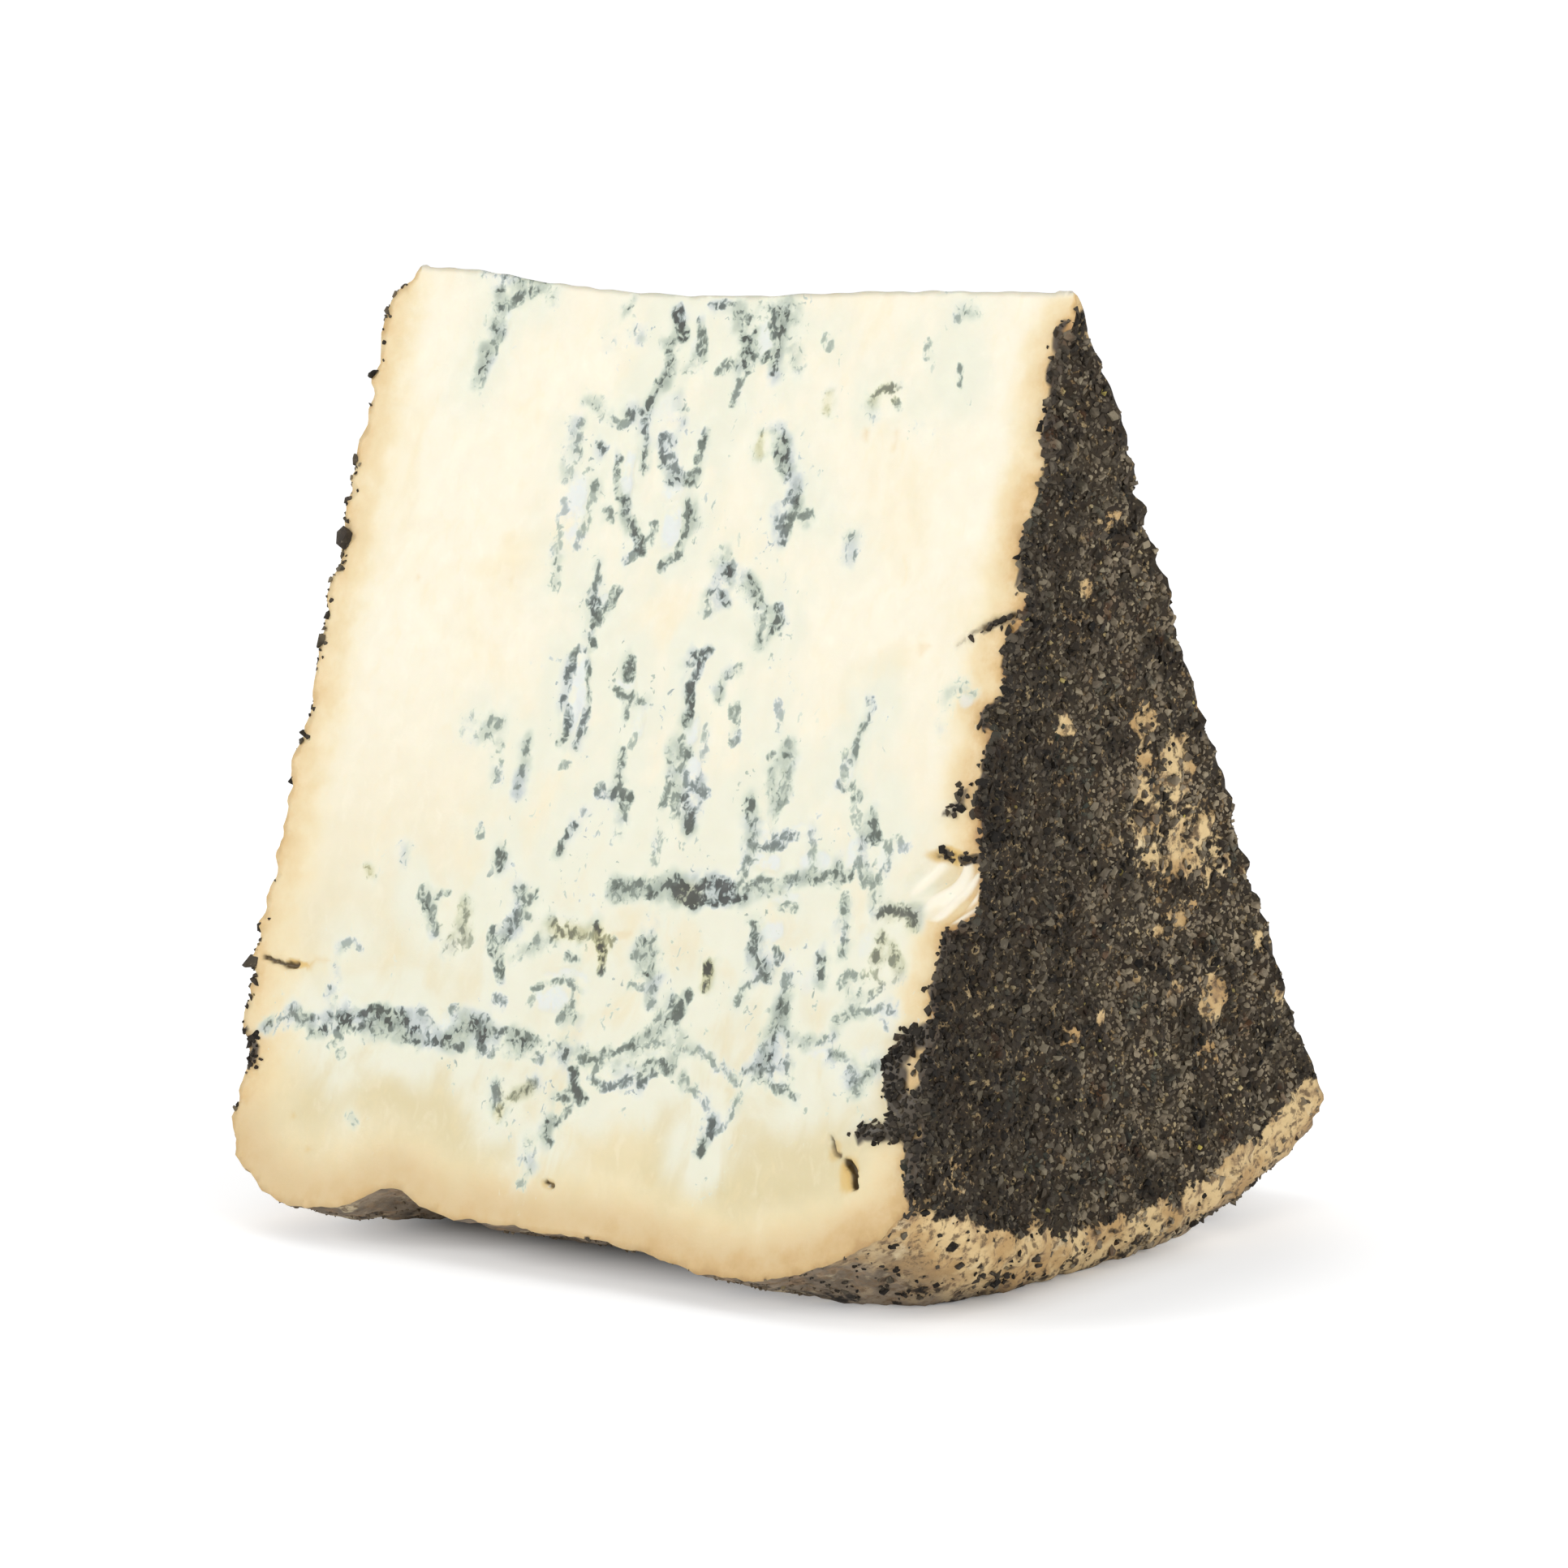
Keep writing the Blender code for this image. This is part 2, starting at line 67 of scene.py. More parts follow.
# Wheel and cut, as the solid has them
WHEEL_RADIUS = 110.3 * MM
LEFT_END = -49.0 * MM
RIGHT_END = 47.8 * MM
FRONT_ANGLE = -math.radians(18.7)
BACK_ANGLE = math.radians(25.5)
SETTLED_DEPTH = 1.3 * MM
RIDGE_X = 0.4 * MM
RIDGE_Y = -7.0 * MM
RIDGE_HEIGHT = WHEEL_RADIUS - SETTLED_DEPTH

# Rounding of the rind where the ends meet the rim and the ridge: (along x, along the radius).
# The right end's is rounder by the front cut than behind it.
LEFT_RIM_ROUND = (14.0 * MM, 10.5 * MM)
RIGHT_FRONT_ROUND = (19.5 * MM, 11.8 * MM)
RIGHT_BACK_ROUND = (16.8 * MM, 9.1 * MM)
LEFT_RIDGE_ROUND = (4.2 * MM, 5.8 * MM)
RIGHT_RIDGE_ROUND = (1.6 * MM, 1.8 * MM)
LEFT_RIM_POWER = 2.0
RIGHT_FRONT_POWER = 1.7
RIGHT_BACK_POWER = 1.84
RIDGE_POWER = 2.0
ROUND_REACH = math.radians(10.0)
CORNER_STEPS = 12

# How far the soft rim has spread towards the back: all of it, and its right end along x and
# along the radius
RIM_SPREAD = 1.9 * MM
RIM_SPREAD_ANGLES = (-math.radians(10.0), math.radians(22.8))
RIGHT_SPREAD = (3.7 * MM, 4.0 * MM)
RIGHT_SPREAD_X = 30.0 * MM
RIGHT_SPREAD_WIDTH = 5.0 * MM

# Swells of the rim by the front cut, as (x, half width, height), the slow waves of all the rim,
# and how quickly both fade up the ends
RIM_SWELLS = (
    (-24.0 * MM, 4.0 * MM, -3.2 * MM),
    (-1.0 * MM, 15.0 * MM, -1.5 * MM),
    (25.0 * MM, 5.0 * MM, 0.6 * MM),
)
RIM_SWELL_REACH = math.radians(9.0)
RIM_ROUGHNESS = 0.6 * MM
RIM_ROUGHNESS_SIZE = 18.0 * MM
RIM_FADE_POWER = 8

# Height of the ridge line: a raised left end, a long shallow sag, as (x, half width, height), how
# far down the faces both reach, and the ridge's crumbled edge
RIDGE_RAISE = 1.6 * MM
RIDGE_RAISE_X = -31.0 * MM
RIDGE_RAISE_WIDTH = 4.0 * MM
RIDGE_SAG = (-3.0 * MM, 15.0 * MM, -1.2 * MM)
RIDGE_REACH = 30.0 * MM
RIDGE_CRUMBLE = 0.22 * MM
RIDGE_CRUMBLE_SIZE = 2.6 * MM

# Fineness of the mesh: steps along the rind's outline, round it, and over each cut face, where
# only every third place is kept away from the marbling
OUTLINE_STEP = 0.6 * MM
RIND_STEP = 0.9 * MM
FRONT_STEP = 0.35 * MM
BACK_STEP = 0.50 * MM
ROW_SHARE = 0.866
PLACE_SHAKE = 0.22
COARSE_EVERY = 3
FINE_REACH = 1.6 * MM
FINE_DETAIL = 0.02
EDGE_MARGIN = 0.40 * MM
SCATTER_MARGIN = 6.0 * MM
TIP_RADIUS = 0.3 * MM
FLAT_TOLERANCE = 1e-7
NOISE_OFFSET = 7.3

# How far the rind stands off the wheel's nominal surface at each end, under its crumbs, and its
# roughness, each with the size of its bumps
LEFT_RIND_LIFT = 0.85 * MM
RIGHT_RIND_LIFT = 0.50 * MM
COAT_FADE_RADIUS = 14.0 * MM
RIND_ROUGHNESS = 0.50 * MM
RIND_ROUGHNESS_SIZE = 3.4 * MM
COAT_ROUGHNESS = 1.00 * MM
COAT_ROUGHNESS_SIZE = 2.0 * MM
RIND_GRAIN = 0.22 * MM
RIND_GRAIN_SIZE = 1.0 * MM

# Lumps of the coat that break the outline at the back edge: radius, angle, half width, height
COAT_LUMPS = (
    (14.0 * MM, math.radians(25.0), 8.0 * MM, 1.5 * MM),
    (38.0 * MM, math.radians(25.0), 3.0 * MM, 0.8 * MM),
    (62.0 * MM, math.radians(25.0), 7.0 * MM, 0.9 * MM),
    (83.0 * MM, math.radians(24.5), 5.0 * MM, 0.8 * MM),
)

# How far the rind's normal has turned from the rim, 0, to an end, 1: where an end begins, where
# its lumps do, and where the rim's finish, the coat's roughness and the bulges fade in or out
END_TURN = 0.25
COAT_LUMP_TURN = 0.5
EDGE_LUMP_TURN = 0.8
RIM_TURN = (0.25, 0.85)
ROUGH_TURN = (0.4, 0.9)
BULGE_TURN = (0.3, 0.8)

# Where the coat stops: clear of the ridge at the right, of the back cut and of the floor, with
# fewer crumbs low on the rim, and no crumb let into the floor
RIDGE_CLEAR = 4.0 * MM
RIDGE_FADE = (0.4 * RIDGE_CLEAR, 0.8 * RIDGE_CLEAR)
CUT_CLEAR = 0.3 * MM
FLOOR_GAP = 1.0 * MM
FLOOR_FADE = 9.0 * MM
FLOOR_TOUCH = 0.03 * MM

# How the coat breaks up: the size of its clumps, the strength and size of the smaller ones among
# them, how it fades at its lower edge, in worn places and behind the front cut, how clumped its
# stray and its sparse crumbs are, as (level, gain, most), and how dense it is where it spills
CLUMP_SIZE = 2.6 * MM
SMALL_CLUMPS = (0.7, 0.42)
BAND_FADE = 1.6 * MM
PATCH_FADE = (0.4, 1.3)
WORN_GAIN = 1.5
WORN_FADE = 0.25
PEEK_FADE = (1.0 * MM, 3.0 * MM)
STRAY_CLUMPING = (1.0, 2.5, 2.5)
SPARSE_CLUMPING = (0.6, 1.6, 1.5)
COATED = 0.5

# Relief of the cut faces: waves, ripples and grain with their sizes, pits in the veins where
# they are near enough, hollows in the blooms, cracks, and crumbs that have spilled
CUT_WAVE = 0.35 * MM
CUT_WAVE_SIZE = 28.0 * MM
CUT_RIPPLE = 0.16 * MM
CUT_RIPPLE_SIZE = 7.0 * MM
CUT_GRAIN = 0.05 * MM
CUT_GRAIN_SIZE = 1.1 * MM
CUT_FADE_RADIUS = 6.0 * MM
VEIN_PIT = 0.14 * MM
PIT_SIZE = 1.1 * MM
PIT_NEARNESS = (0.35, 0.65)
BLOOM_HOLLOW = 0.28 * MM
HOLLOW_SIZE = 1.6 * MM
HOLE_DEPTH = 1.3 * MM
SPILL_RISE = 0.55 * MM

# A torn chip by the right end: middle, half size, depth, and its flakes and their fibres
CHIP_CENTRE = (46.0 * MM, 66.2 * MM)
CHIP_HALF = (5.8 * MM, 4.0 * MM)
CHIP_DEPTH = 1.6 * MM
CHIP_FLAKE = 0.8 * MM
CHIP_FIBRE_LENGTH = 5.0 * MM
CHIP_FIBRE_WIDTH = 1.3 * MM
TORN_FIBRES = (0.5, 1.1)

# Width of the tan band along the rind, at two radii, and how much wider it is at the left
EDGE_REACH = (7.6 * MM, 9.6 * MM)
EDGE_REACH_RADIUS = (76.0 * MM, 98.0 * MM)
LEFT_EDGE_EXTRA = 0.2

# How streaks wander, as (size, reach in millimetres), and how far the hidden face's are moved
WANDER = ((3.0 * MM, 0.55), (1.1 * MM, 0.24))
BACK_DRIFT = 9.0
BACK_DRIFT_SIZE = 26.0 * MM

# How marbling fades, in millimetres: how near a vein counts and how wide it is, as (gain, extra),
# then how much of its width each streak fills and how far past it the streak fades. Spots fade
# between two shares of their own size.
NEAR_REACH = 1.6
VEIN_WIDTH = (0.9, 0.20)
SMEAR_FADE = (0.0, 1.2)
HALO_FADE = (0.0, 2.6)
ZONE_FADE = (0.0, 8.5)
ZONE_GAIN = 1.9
HOLE_FADE = (0.4, 0.35)
SPILL_FADE = (0.6, 0.5)
FINE_SMEAR_FADE = (1.0, 0.3)
SPOT_FADE = (0.55, 1.35)
BACK_STAIN = 0.5

# Marbling of the front cut face, in millimetres: half width, darkness, then points (x, radius).
# Veins are dark and broken into grains.
VEINS = (
    # by the ridge, left
    (0.35, 0.60, (-30.2, 2.8), (-29.6, 1.9), (-27.6, 1.3), (-26.9, 0.1)),
    (0.50, 0.50, (-31.2, 3.6), (-30.7, 3.2)),
    (0.45, 0.45, (-31.6, 6.6), (-32.0, 8.2), (-32.5, 9.4)),
    # streaks down from the middle of the ridge
    (0.50, 0.75, (-6.3, 2.2), (-5.8, 4.0), (-4.9, 5.2)),
    (0.45, 0.55, (-2.9, 3.2), (-2.3, 4.6), (-1.8, 6.8)),
    (0.35, 0.60, (-1.6, 1.3), (0.2, 1.2), (1.6, 1.4)),
    (0.70, 0.50, (1.3, 9.2), (2.4, 8.4)),
    (0.45, 0.65, (-7.0, 10.9), (-7.6, 12.8), (-8.0, 14.4)),
    (0.32, 0.60, (-8.0, 15.5), (-7.6, 18.6), (-6.7, 21.2)),
    (0.50, 0.60, (-10.3, 14.5), (-9.7, 14.9)),
    (0.40, 0.42, (-12.9, 15.6), (-11.6, 16.3), (-10.2, 15.6)),
    (0.45, 0.42, (-17.6, 16.5), (-17.3, 18.5), (-16.8, 20.2)),
    (0.45, 0.60, (-13.4, 19.1), (-13.0, 19.4)),
    (0.40, 0.35, (-14.8, 21.3), (-14.2, 21.5)),
    (0.40, 0.50, (-13.6, 23.2), (-13.2, 24.0)),
    (0.50, 0.34, (-13.2, 24.4), (-13.6, 27.5), (-14.6, 30.6)),
    (0.45, 0.30, (-17.5, 26.0), (-17.7, 29.0), (-17.2, 31.6)),
    (0.45, 0.30, (-16.6, 20.8), (-17.8, 22.4)),
    (0.30, 0.58, (-10.7, 20.4), (-10.6, 22.8), (-10.2, 24.8)),
    (0.40, 0.50, (-10.9, 26.4), (-10.6, 27.2)),
    (0.40, 0.55, (-5.3, 18.4), (-4.4, 17.5), (-3.4, 18.0)),
    (0.50, 0.60, (-4.8, 18.4), (-4.3, 20.4)),
    (0.40, 0.50, (-3.5, 19.5), (-2.4, 19.4), (-2.1, 21.0), (-3.2, 20.8)),
    (0.42, 0.52, (-1.9, 21.3), (-0.6, 21.8), (0.9, 21.5)),
    (0.35, 0.66, (0.8, 16.4), (0.9, 17.6)),
    (0.32, 0.55, (0.9, 18.2), (0.9, 20.1)),
    (0.50, 0.62, (-8.6, 25.2), (-7.5, 26.8), (-6.7, 28.0)),
    (0.55, 0.66, (-6.6, 28.4), (-5.4, 29.4), (-5.0, 31.0)),
    (0.45, 0.48, (-4.1, 27.6), (-3.8, 29.6)),
    (0.40, 0.45, (-6.6, 31.9), (-4.9, 31.1)),
    (0.45, 0.55, (0.7, 24.8), (1.0, 27.4), (0.7, 29.8), (0.3, 31.4), (-1.2, 31.8), (-1.8, 32.7)),
    (0.55, 0.48, (4.8, 5.2), (5.0, 7.2)),
    (0.50, 0.50, (4.5, 10.4), (4.4, 12.9)),
    (0.50, 0.60, (7.5, 3.4), (8.0, 5.0), (8.8, 6.0)),
    (0.42, 0.68, (8.9, 4.6), (8.8, 6.6), (9.1, 9.6)),
    (0.50, 0.60, (7.0, 7.6), (7.5, 7.3)),
    # the long pocket and what hangs above it
    (0.42, 0.52, (-10.8, 33.0), (-10.6, 35.0), (-11.2, 36.8)),
    (0.45, 0.64, (-10.9, 37.0), (-9.9, 38.9), (-9.1, 39.4)),
    (0.40, 0.52, (-7.3, 35.4), (-7.7, 36.8), (-8.8, 39.0)),
    (0.36, 0.60, (-10.0, 39.8), (-9.8, 41.2), (-9.1, 42.6)),
    (0.30, 0.50, (-11.0, 43.2), (-9.3, 43.2)),
    (
        0.30, 0.58, (-11.6, 43.6), (-12.2, 46.2), (-12.0, 49.0), (-11.2, 50.6), (-10.8, 53.0),
        (-11.3, 53.9),
    ),
    (0.34, 0.54, (-9.5, 44.4), (-8.9, 47.0), (-8.4, 49.6), (-8.5, 52.0), (-9.1, 53.6)),
    (0.70, 0.62, (-3.6, 43.8), (-3.2, 45.2)),
    (0.45, 0.52, (-4.5, 47.4), (-3.4, 47.9), (-2.5, 47.6)),
    (0.42, 0.48, (-3.2, 48.8), (-2.8, 50.0)),
    (0.28, 0.50, (-1.9, 48.3), (-0.6, 48.3)),
    # right of the middle
    (0.45, 0.50, (24.0, 12.4), (25.0, 11.4), (26.6, 11.2)),
    (0.45, 0.45, (27.1, 12.8), (27.5, 13.6)),
    (0.35, 0.50, (34.7, 8.8), (34.9, 10.4)),
    (0.35, 0.36, (29.9, 6.0), (30.3, 7.4)),
    (0.35, 0.36, (32.9, 2.2), (33.2, 3.6)),
    (0.55, 0.34, (15.6, 5.6), (16.1, 6.4)),
    (0.60, 0.55, (15.4, 23.6), (15.5, 25.2), (15.2, 26.8), (15.0, 28.6)),
    (0.50, 0.50, (13.8, 27.2), (15.2, 25.9), (17.9, 26.0)),
    (0.45, 0.32, (12.8, 17.6), (13.5, 20.2)),
    (0.60, 0.36, (8.0, 31.8), (8.3, 33.8)),
    (0.50, 0.34, (10.6, 33.2), (12.2, 34.6)),
    (0.60, 0.64, (15.8, 37.0), (16.2, 38.2), (15.5, 38.8)),
    (0.40, 0.36, (14.0, 38.6), (14.3, 40.4)),
    (0.50, 0.62, (5.2, 42.1), (6.5, 42.3), (7.2, 41.6)),
    (0.50, 0.68, (5.6, 42.6), (6.2, 44.2), (5.9, 46.4), (6.3, 48.4), (6.3, 50.0)),
    (0.40, 0.50, (4.4, 43.9), (4.9, 43.9)),
    (0.40, 0.42, (12.5, 48.0), (13.1, 50.4), (13.2, 52.0)),
    (0.40, 0.32, (18.6, 47.4), (19.0, 50.0)),
    (0.42, 0.50, (30.7, 46.3), (31.3, 47.6), (30.8, 49.6), (30.2, 51.0), (29.4, 53.2)),
    (0.40, 0.36, (28.8, 52.2), (29.1, 55.0)),
    # short streaks across the middle
    (0.50, 0.42, (-22.0, 52.0), (-20.8, 52.2)),
    (0.42, 0.36, (-20.2, 54.2), (-20.0, 57.0), (-19.6, 58.4)),
    (0.38, 0.50, (-16.1, 54.2), (-16.0, 57.0), (-16.3, 59.8)),
    (0.38, 0.36, (-10.5, 56.5), (-9.7, 56.6)),
    (0.40, 0.55, (-2.4, 53.9), (-1.8, 56.0), (-1.8, 58.0), (-0.6, 60.4)),
    (0.38, 0.34, (-1.0, 52.2), (-1.3, 53.4)),
    (0.80, 0.60, (-2.2, 59.0), (-0.2, 59.4)),
    (0.45, 0.50, (-4.3, 58.4), (-4.1, 59.2)),
    (0.42, 0.48, (-0.2, 60.2), (-0.1, 61.8)),
    (0.38, 0.36, (-5.9, 61.2), (-5.5, 61.4)),
    (0.42, 0.62, (-7.4, 63.2), (-7.8, 64.3), (-8.7, 66.0)),
    (0.40, 0.40, (-20.9, 64.4), (-20.7, 65.2)),
    (0.60, 0.62, (-17.0, 67.0), (-16.7, 68.4)),
    (0.50, 0.48, (5.1, 54.0), (5.0, 56.2), (5.1, 59.6)),
    (0.45, 0.45, (5.6, 52.2), (6.8, 55.0), (7.4, 57.4)),
    (0.42, 0.55, (7.0, 53.3), (7.3, 53.8)),
    (0.35, 0.32, (9.2, 51.0), (9.5, 54.0)),
    (0.55, 0.50, (8.4, 57.0), (9.7, 57.8), (10.5, 58.4)),
    (0.55, 0.66, (7.5, 59.0), (8.9, 60.3), (9.3, 62.0)),
    (0.40, 0.45, (6.6, 58.9), (7.2, 61.0), (8.4, 61.0)),
    (0.42, 0.36, (5.2, 63.4), (5.3, 66.4)),
    (0.40, 0.48, (18.7, 53.4), (19.1, 53.7)),
    (0.40, 0.40, (19.1, 55.2), (19.3, 56.0)),
    (0.42, 0.38, (20.7, 52.0), (21.5, 54.6), (21.7, 57.0), (21.0, 59.4)),
    (0.60, 0.62, (16.8, 58.5), (17.2, 60.2)),
    (0.50, 0.46, (17.8, 60.6), (18.3, 63.0), (18.0, 66.0), (17.4, 68.0)),
    (0.38, 0.52, (18.5, 63.9), (20.8, 63.5), (22.4, 62.8)),
    (0.40, 0.48, (21.6, 62.3), (24.4, 62.0)),
    (0.30, 0.36, (26.3, 61.4), (26.8, 63.4), (27.2, 65.2)),
    (0.40, 0.46, (28.3, 56.0), (30.4, 56.0)),
    (0.42, 0.52, (31.2, 56.8), (31.5, 57.4)),
    (0.32, 0.32, (31.4, 57.4), (31.3, 58.6), (32.3, 60.6)),
    (0.60, 0.62, (34.0, 59.2), (34.5, 60.5), (35.2, 61.3)),
    (0.36, 0.42, (33.2, 61.4), (33.3, 64.0), (34.0, 65.6), (34.5, 66.6)),
    (0.40, 0.58, (30.4, 64.8), (31.0, 65.8), (32.4, 65.8)),
    (0.35, 0.42, (35.7, 66.0), (36.2, 68.0), (36.5, 69.5), (38.0, 69.6)),
    (0.36, 0.38, (36.8, 62.0), (37.0, 64.4), (36.4, 65.0)),
    (0.36, 0.34, (38.0, 61.5), (39.2, 62.0)),
    # the dark line along the middle of the right half
    (0.55, 0.55, (0.2, 69.5), (2.0, 69.7), (3.6, 69.0), (5.2, 69.3)),
    (0.45, 0.45, (0.8, 70.5), (3.4, 70.2)),
    (0.65, 0.66, (5.5, 69.9), (7.4, 69.1), (8.6, 68.4)),
    (0.90, 1.00, (9.6, 69.1), (10.8, 69.3), (11.6, 69.9)),
    (0.60, 0.78, (11.5, 68.5), (13.2, 68.3), (15.0, 68.2), (16.6, 68.8)),
    (0.45, 0.75, (12.4, 69.8), (16.0, 69.6), (18.6, 69.5)),
    (0.45, 0.52, (18.0, 68.3), (20.0, 67.8), (22.0, 67.2)),
    (0.40, 0.45, (20.2, 68.8), (22.2, 68.0)),
    (0.34, 0.50, (22.5, 67.0), (24.5, 66.6), (26.2, 66.4)),
    (0.40, 0.52, (28.2, 66.4), (29.0, 66.0)),
    (0.40, 0.42, (24.0, 70.0), (25.4, 69.8)),
    # lower right
    (0.45, 0.62, (37.5, 69.8), (39.0, 69.3), (41.0, 69.0), (42.4, 70.2)),
    (0.40, 0.52, (38.0, 72.0), (38.2, 73.5), (38.0, 74.8)),
    (0.35, 0.48, (40.0, 73.0), (40.3, 74.5), (41.5, 75.5)),
    (0.36, 0.42, (34.0, 77.8), (35.0, 76.7), (36.2, 77.0)),
    (0.38, 0.44, (37.1, 78.2), (38.0, 78.8), (39.4, 77.4)),
    (0.35, 0.44, (35.4, 80.1), (38.4, 80.0), (40.0, 79.5), (41.4, 79.8)),
    (0.34, 0.36, (38.8, 75.8), (39.4, 77.0)),
    (0.36, 0.46, (34.5, 81.5), (35.5, 80.8)),
    (0.36, 0.36, (40.6, 81.2), (41.0, 81.8)),
    (0.45, 0.62, (31.0, 75.2), (31.0, 76.8)),
    (0.34, 0.50, (32.3, 68.0), (32.5, 70.0), (33.2, 72.4), (33.8, 74.4)),
    (0.38, 0.42, (26.8, 77.0), (27.0, 78.6)),
    (0.38, 0.60, (20.8, 72.4), (21.3, 73.6)),
    (0.50, 0.60, (21.2, 74.6), (22.0, 76.4), (23.4, 77.2), (24.0, 78.2)),
    (0.42, 0.52, (24.4, 75.0), (25.2, 75.6)),
    (0.34, 0.48, (22.4, 77.9), (21.1, 79.1), (20.3, 81.0)),
    (0.90, 0.55, (26.7, 80.9), (26.9, 81.8)),
    (0.42, 0.50, (26.7, 79.8), (27.1, 82.4), (28.3, 83.8), (29.0, 84.2)),
    (0.42, 0.42, (26.0, 82.6), (25.3, 84.6), (25.3, 86.2), (24.4, 89.0)),
    (0.42, 0.52, (23.2, 88.1), (25.3, 88.0), (26.8, 87.4)),
    (0.34, 0.52, (26.7, 88.0), (27.5, 89.3), (29.0, 89.5), (30.6, 90.2)),
    (0.38, 0.46, (28.6, 87.2), (29.0, 87.5)),
    (0.32, 0.42, (30.5, 84.5), (32.5, 84.0), (34.2, 83.2)),
    (0.42, 0.36, (34.2, 85.3), (36.0, 85.4), (36.6, 86.2)),
    (0.55, 0.46, (37.0, 87.0), (38.2, 88.1), (38.8, 89.0)),
    (0.34, 0.40, (38.8, 88.3), (39.8, 86.8), (41.2, 85.8)),
    (0.42, 0.72, (15.7, 77.2), (15.7, 79.8)),
    (0.55, 0.50, (7.0, 74.4), (6.9, 76.2), (6.2, 77.0)),
    (0.50, 0.46, (4.8, 77.0), (6.4, 77.3)),
    (0.50, 0.42, (7.2, 75.6), (7.6, 77.6), (8.0, 80.0), (8.2, 82.2)),
    (0.38, 0.38, (5.3, 80.3), (6.5, 80.2)),
    (0.70, 0.62, (13.5, 80.6), (12.7, 81.6), (12.2, 83.4)),
    (0.42, 0.56, (11.2, 81.5), (11.8, 82.8)),
    (0.36, 0.44, (12.0, 82.6), (10.4, 83.1), (9.2, 84.1), (8.8, 85.6), (7.8, 86.6), (6.5, 87.6)),
    (0.30, 0.54, (0.2, 88.8), (2.0, 88.5), (3.6, 87.8), (5.5, 87.7), (7.0, 87.2)),
    (0.34, 0.52, (2.0, 91.0), (4.5, 91.8), (6.5, 91.2), (8.6, 90.3), (10.6, 89.8), (12.0, 89.0)),
    (0.32, 0.44, (2.0, 90.4), (2.8, 89.2)),
    (0.45, 0.56, (9.0, 90.8), (9.4, 91.2)),
    (0.60, 0.60, (11.2, 88.8), (12.4, 89.1)),
    (0.32, 0.40, (9.0, 86.9), (10.5, 86.3), (12.0, 86.3)),
    (0.30, 0.38, (14.0, 87.0), (16.4, 86.8), (18.0, 87.3), (19.3, 88.7), (21.0, 89.1), (22.6, 89.3)),
    (0.34, 0.38, (15.0, 90.0), (17.0, 91.0), (18.5, 92.0), (19.7, 93.8)),
    (0.50, 0.64, (19.9, 94.4), (19.9, 95.8), (19.3, 97.4)),
    (0.38, 0.40, (20.3, 95.0), (22.0, 94.3), (23.0, 92.5), (23.1, 91.0)),
    # lower middle
    (0.45, 0.52, (-13.5, 71.0), (-12.0, 72.0), (-11.0, 71.5)),
    (0.50, 0.52, (-13.2, 73.2), (-12.5, 74.0), (-13.2, 75.8)),
    (0.36, 0.46, (-11.4, 73.7), (-11.1, 73.9)),
    (0.45, 0.55, (-16.3, 76.0), (-15.6, 77.8), (-14.9, 77.0)),
    (0.42, 0.58, (-15.5, 78.4), (-14.0, 79.5), (-13.6, 81.6)),
    (0.38, 0.46, (-14.0, 83.8), (-12.2, 84.1)),
    (0.36, 0.40, (-9.6, 76.0), (-9.3, 77.5)),
    (0.50, 0.52, (-7.8, 74.2), (-6.8, 75.4), (-5.0, 75.0), (-3.4, 75.3)),
    (0.34, 0.68, (-1.3, 73.9), (-0.4, 75.0), (0.3, 76.8), (0.6, 79.2)),
    (0.40, 0.40, (-2.6, 75.2), (1.4, 75.6)),
    (0.50, 0.52, (-4.0, 77.8), (-3.3, 78.0)),
    (0.30, 0.48, (-8.4, 82.0), (-6.6, 81.0), (-4.4, 80.8), (-2.3, 81.5), (-1.5, 81.6)),
    (0.30, 0.34, (-8.7, 84.0), (-8.5, 82.4)),
    (0.38, 0.46, (-3.0, 82.5), (-2.6, 83.5), (-4.0, 85.0)),
    (0.55, 0.46, (-3.8, 85.0), (-3.2, 85.1)),
    (0.50, 0.52, (-27.3, 72.8), (-25.5, 73.3), (-24.0, 72.7)),
    (0.50, 0.44, (-25.3, 73.6), (-25.2, 75.6), (-24.3, 77.0)),
    (0.45, 0.46, (-20.4, 73.0), (-20.2, 75.4), (-20.0, 77.0)),
    (0.45, 0.34, (-22.3, 79.0), (-21.0, 77.8), (-19.2, 77.3)),
    (0.45, 0.34, (-37.4, 79.8), (-36.3, 79.2), (-35.5, 79.6)),
    # the thick band at the lower left
    (0.50, 0.50, (-43.6, 88.0), (-42.2, 89.0), (-40.4, 88.7)),
    (0.45, 0.40, (-38.6, 89.6), (-37.2, 88.0), (-35.6, 87.5)),
    (0.38, 0.46, (-36.8, 89.6), (-35.4, 90.7)),
    (0.36, 0.38, (-37.0, 91.5), (-35.8, 91.0)),
    (0.45, 0.42, (-35.2, 92.2), (-34.9, 92.5)),
    (0.42, 0.68, (-34.4, 87.8), (-31.0, 87.0), (-29.0, 86.8), (-27.0, 86.2)),
    (0.45, 0.58, (-33.5, 89.2), (-31.5, 88.5), (-29.5, 89.0), (-28.0, 88.3)),
    (0.38, 0.50, (-31.3, 87.4), (-31.2, 89.0)),
    (0.40, 0.64, (-26.2, 89.5), (-23.4, 89.8), (-20.2, 89.3), (-17.4, 89.5)),
    (0.45, 0.46, (-24.3, 86.5), (-22.4, 87.4)),
    (0.45, 0.44, (-19.8, 85.6), (-19.2, 85.6)),
    (0.80, 0.55, (-15.2, 86.6), (-14.8, 88.2), (-14.4, 89.6)),
    (0.34, 0.60, (-13.6, 87.2), (-11.2, 87.0), (-9.8, 87.4)),
    (0.36, 0.42, (-13.6, 89.9), (-12.8, 90.1)),
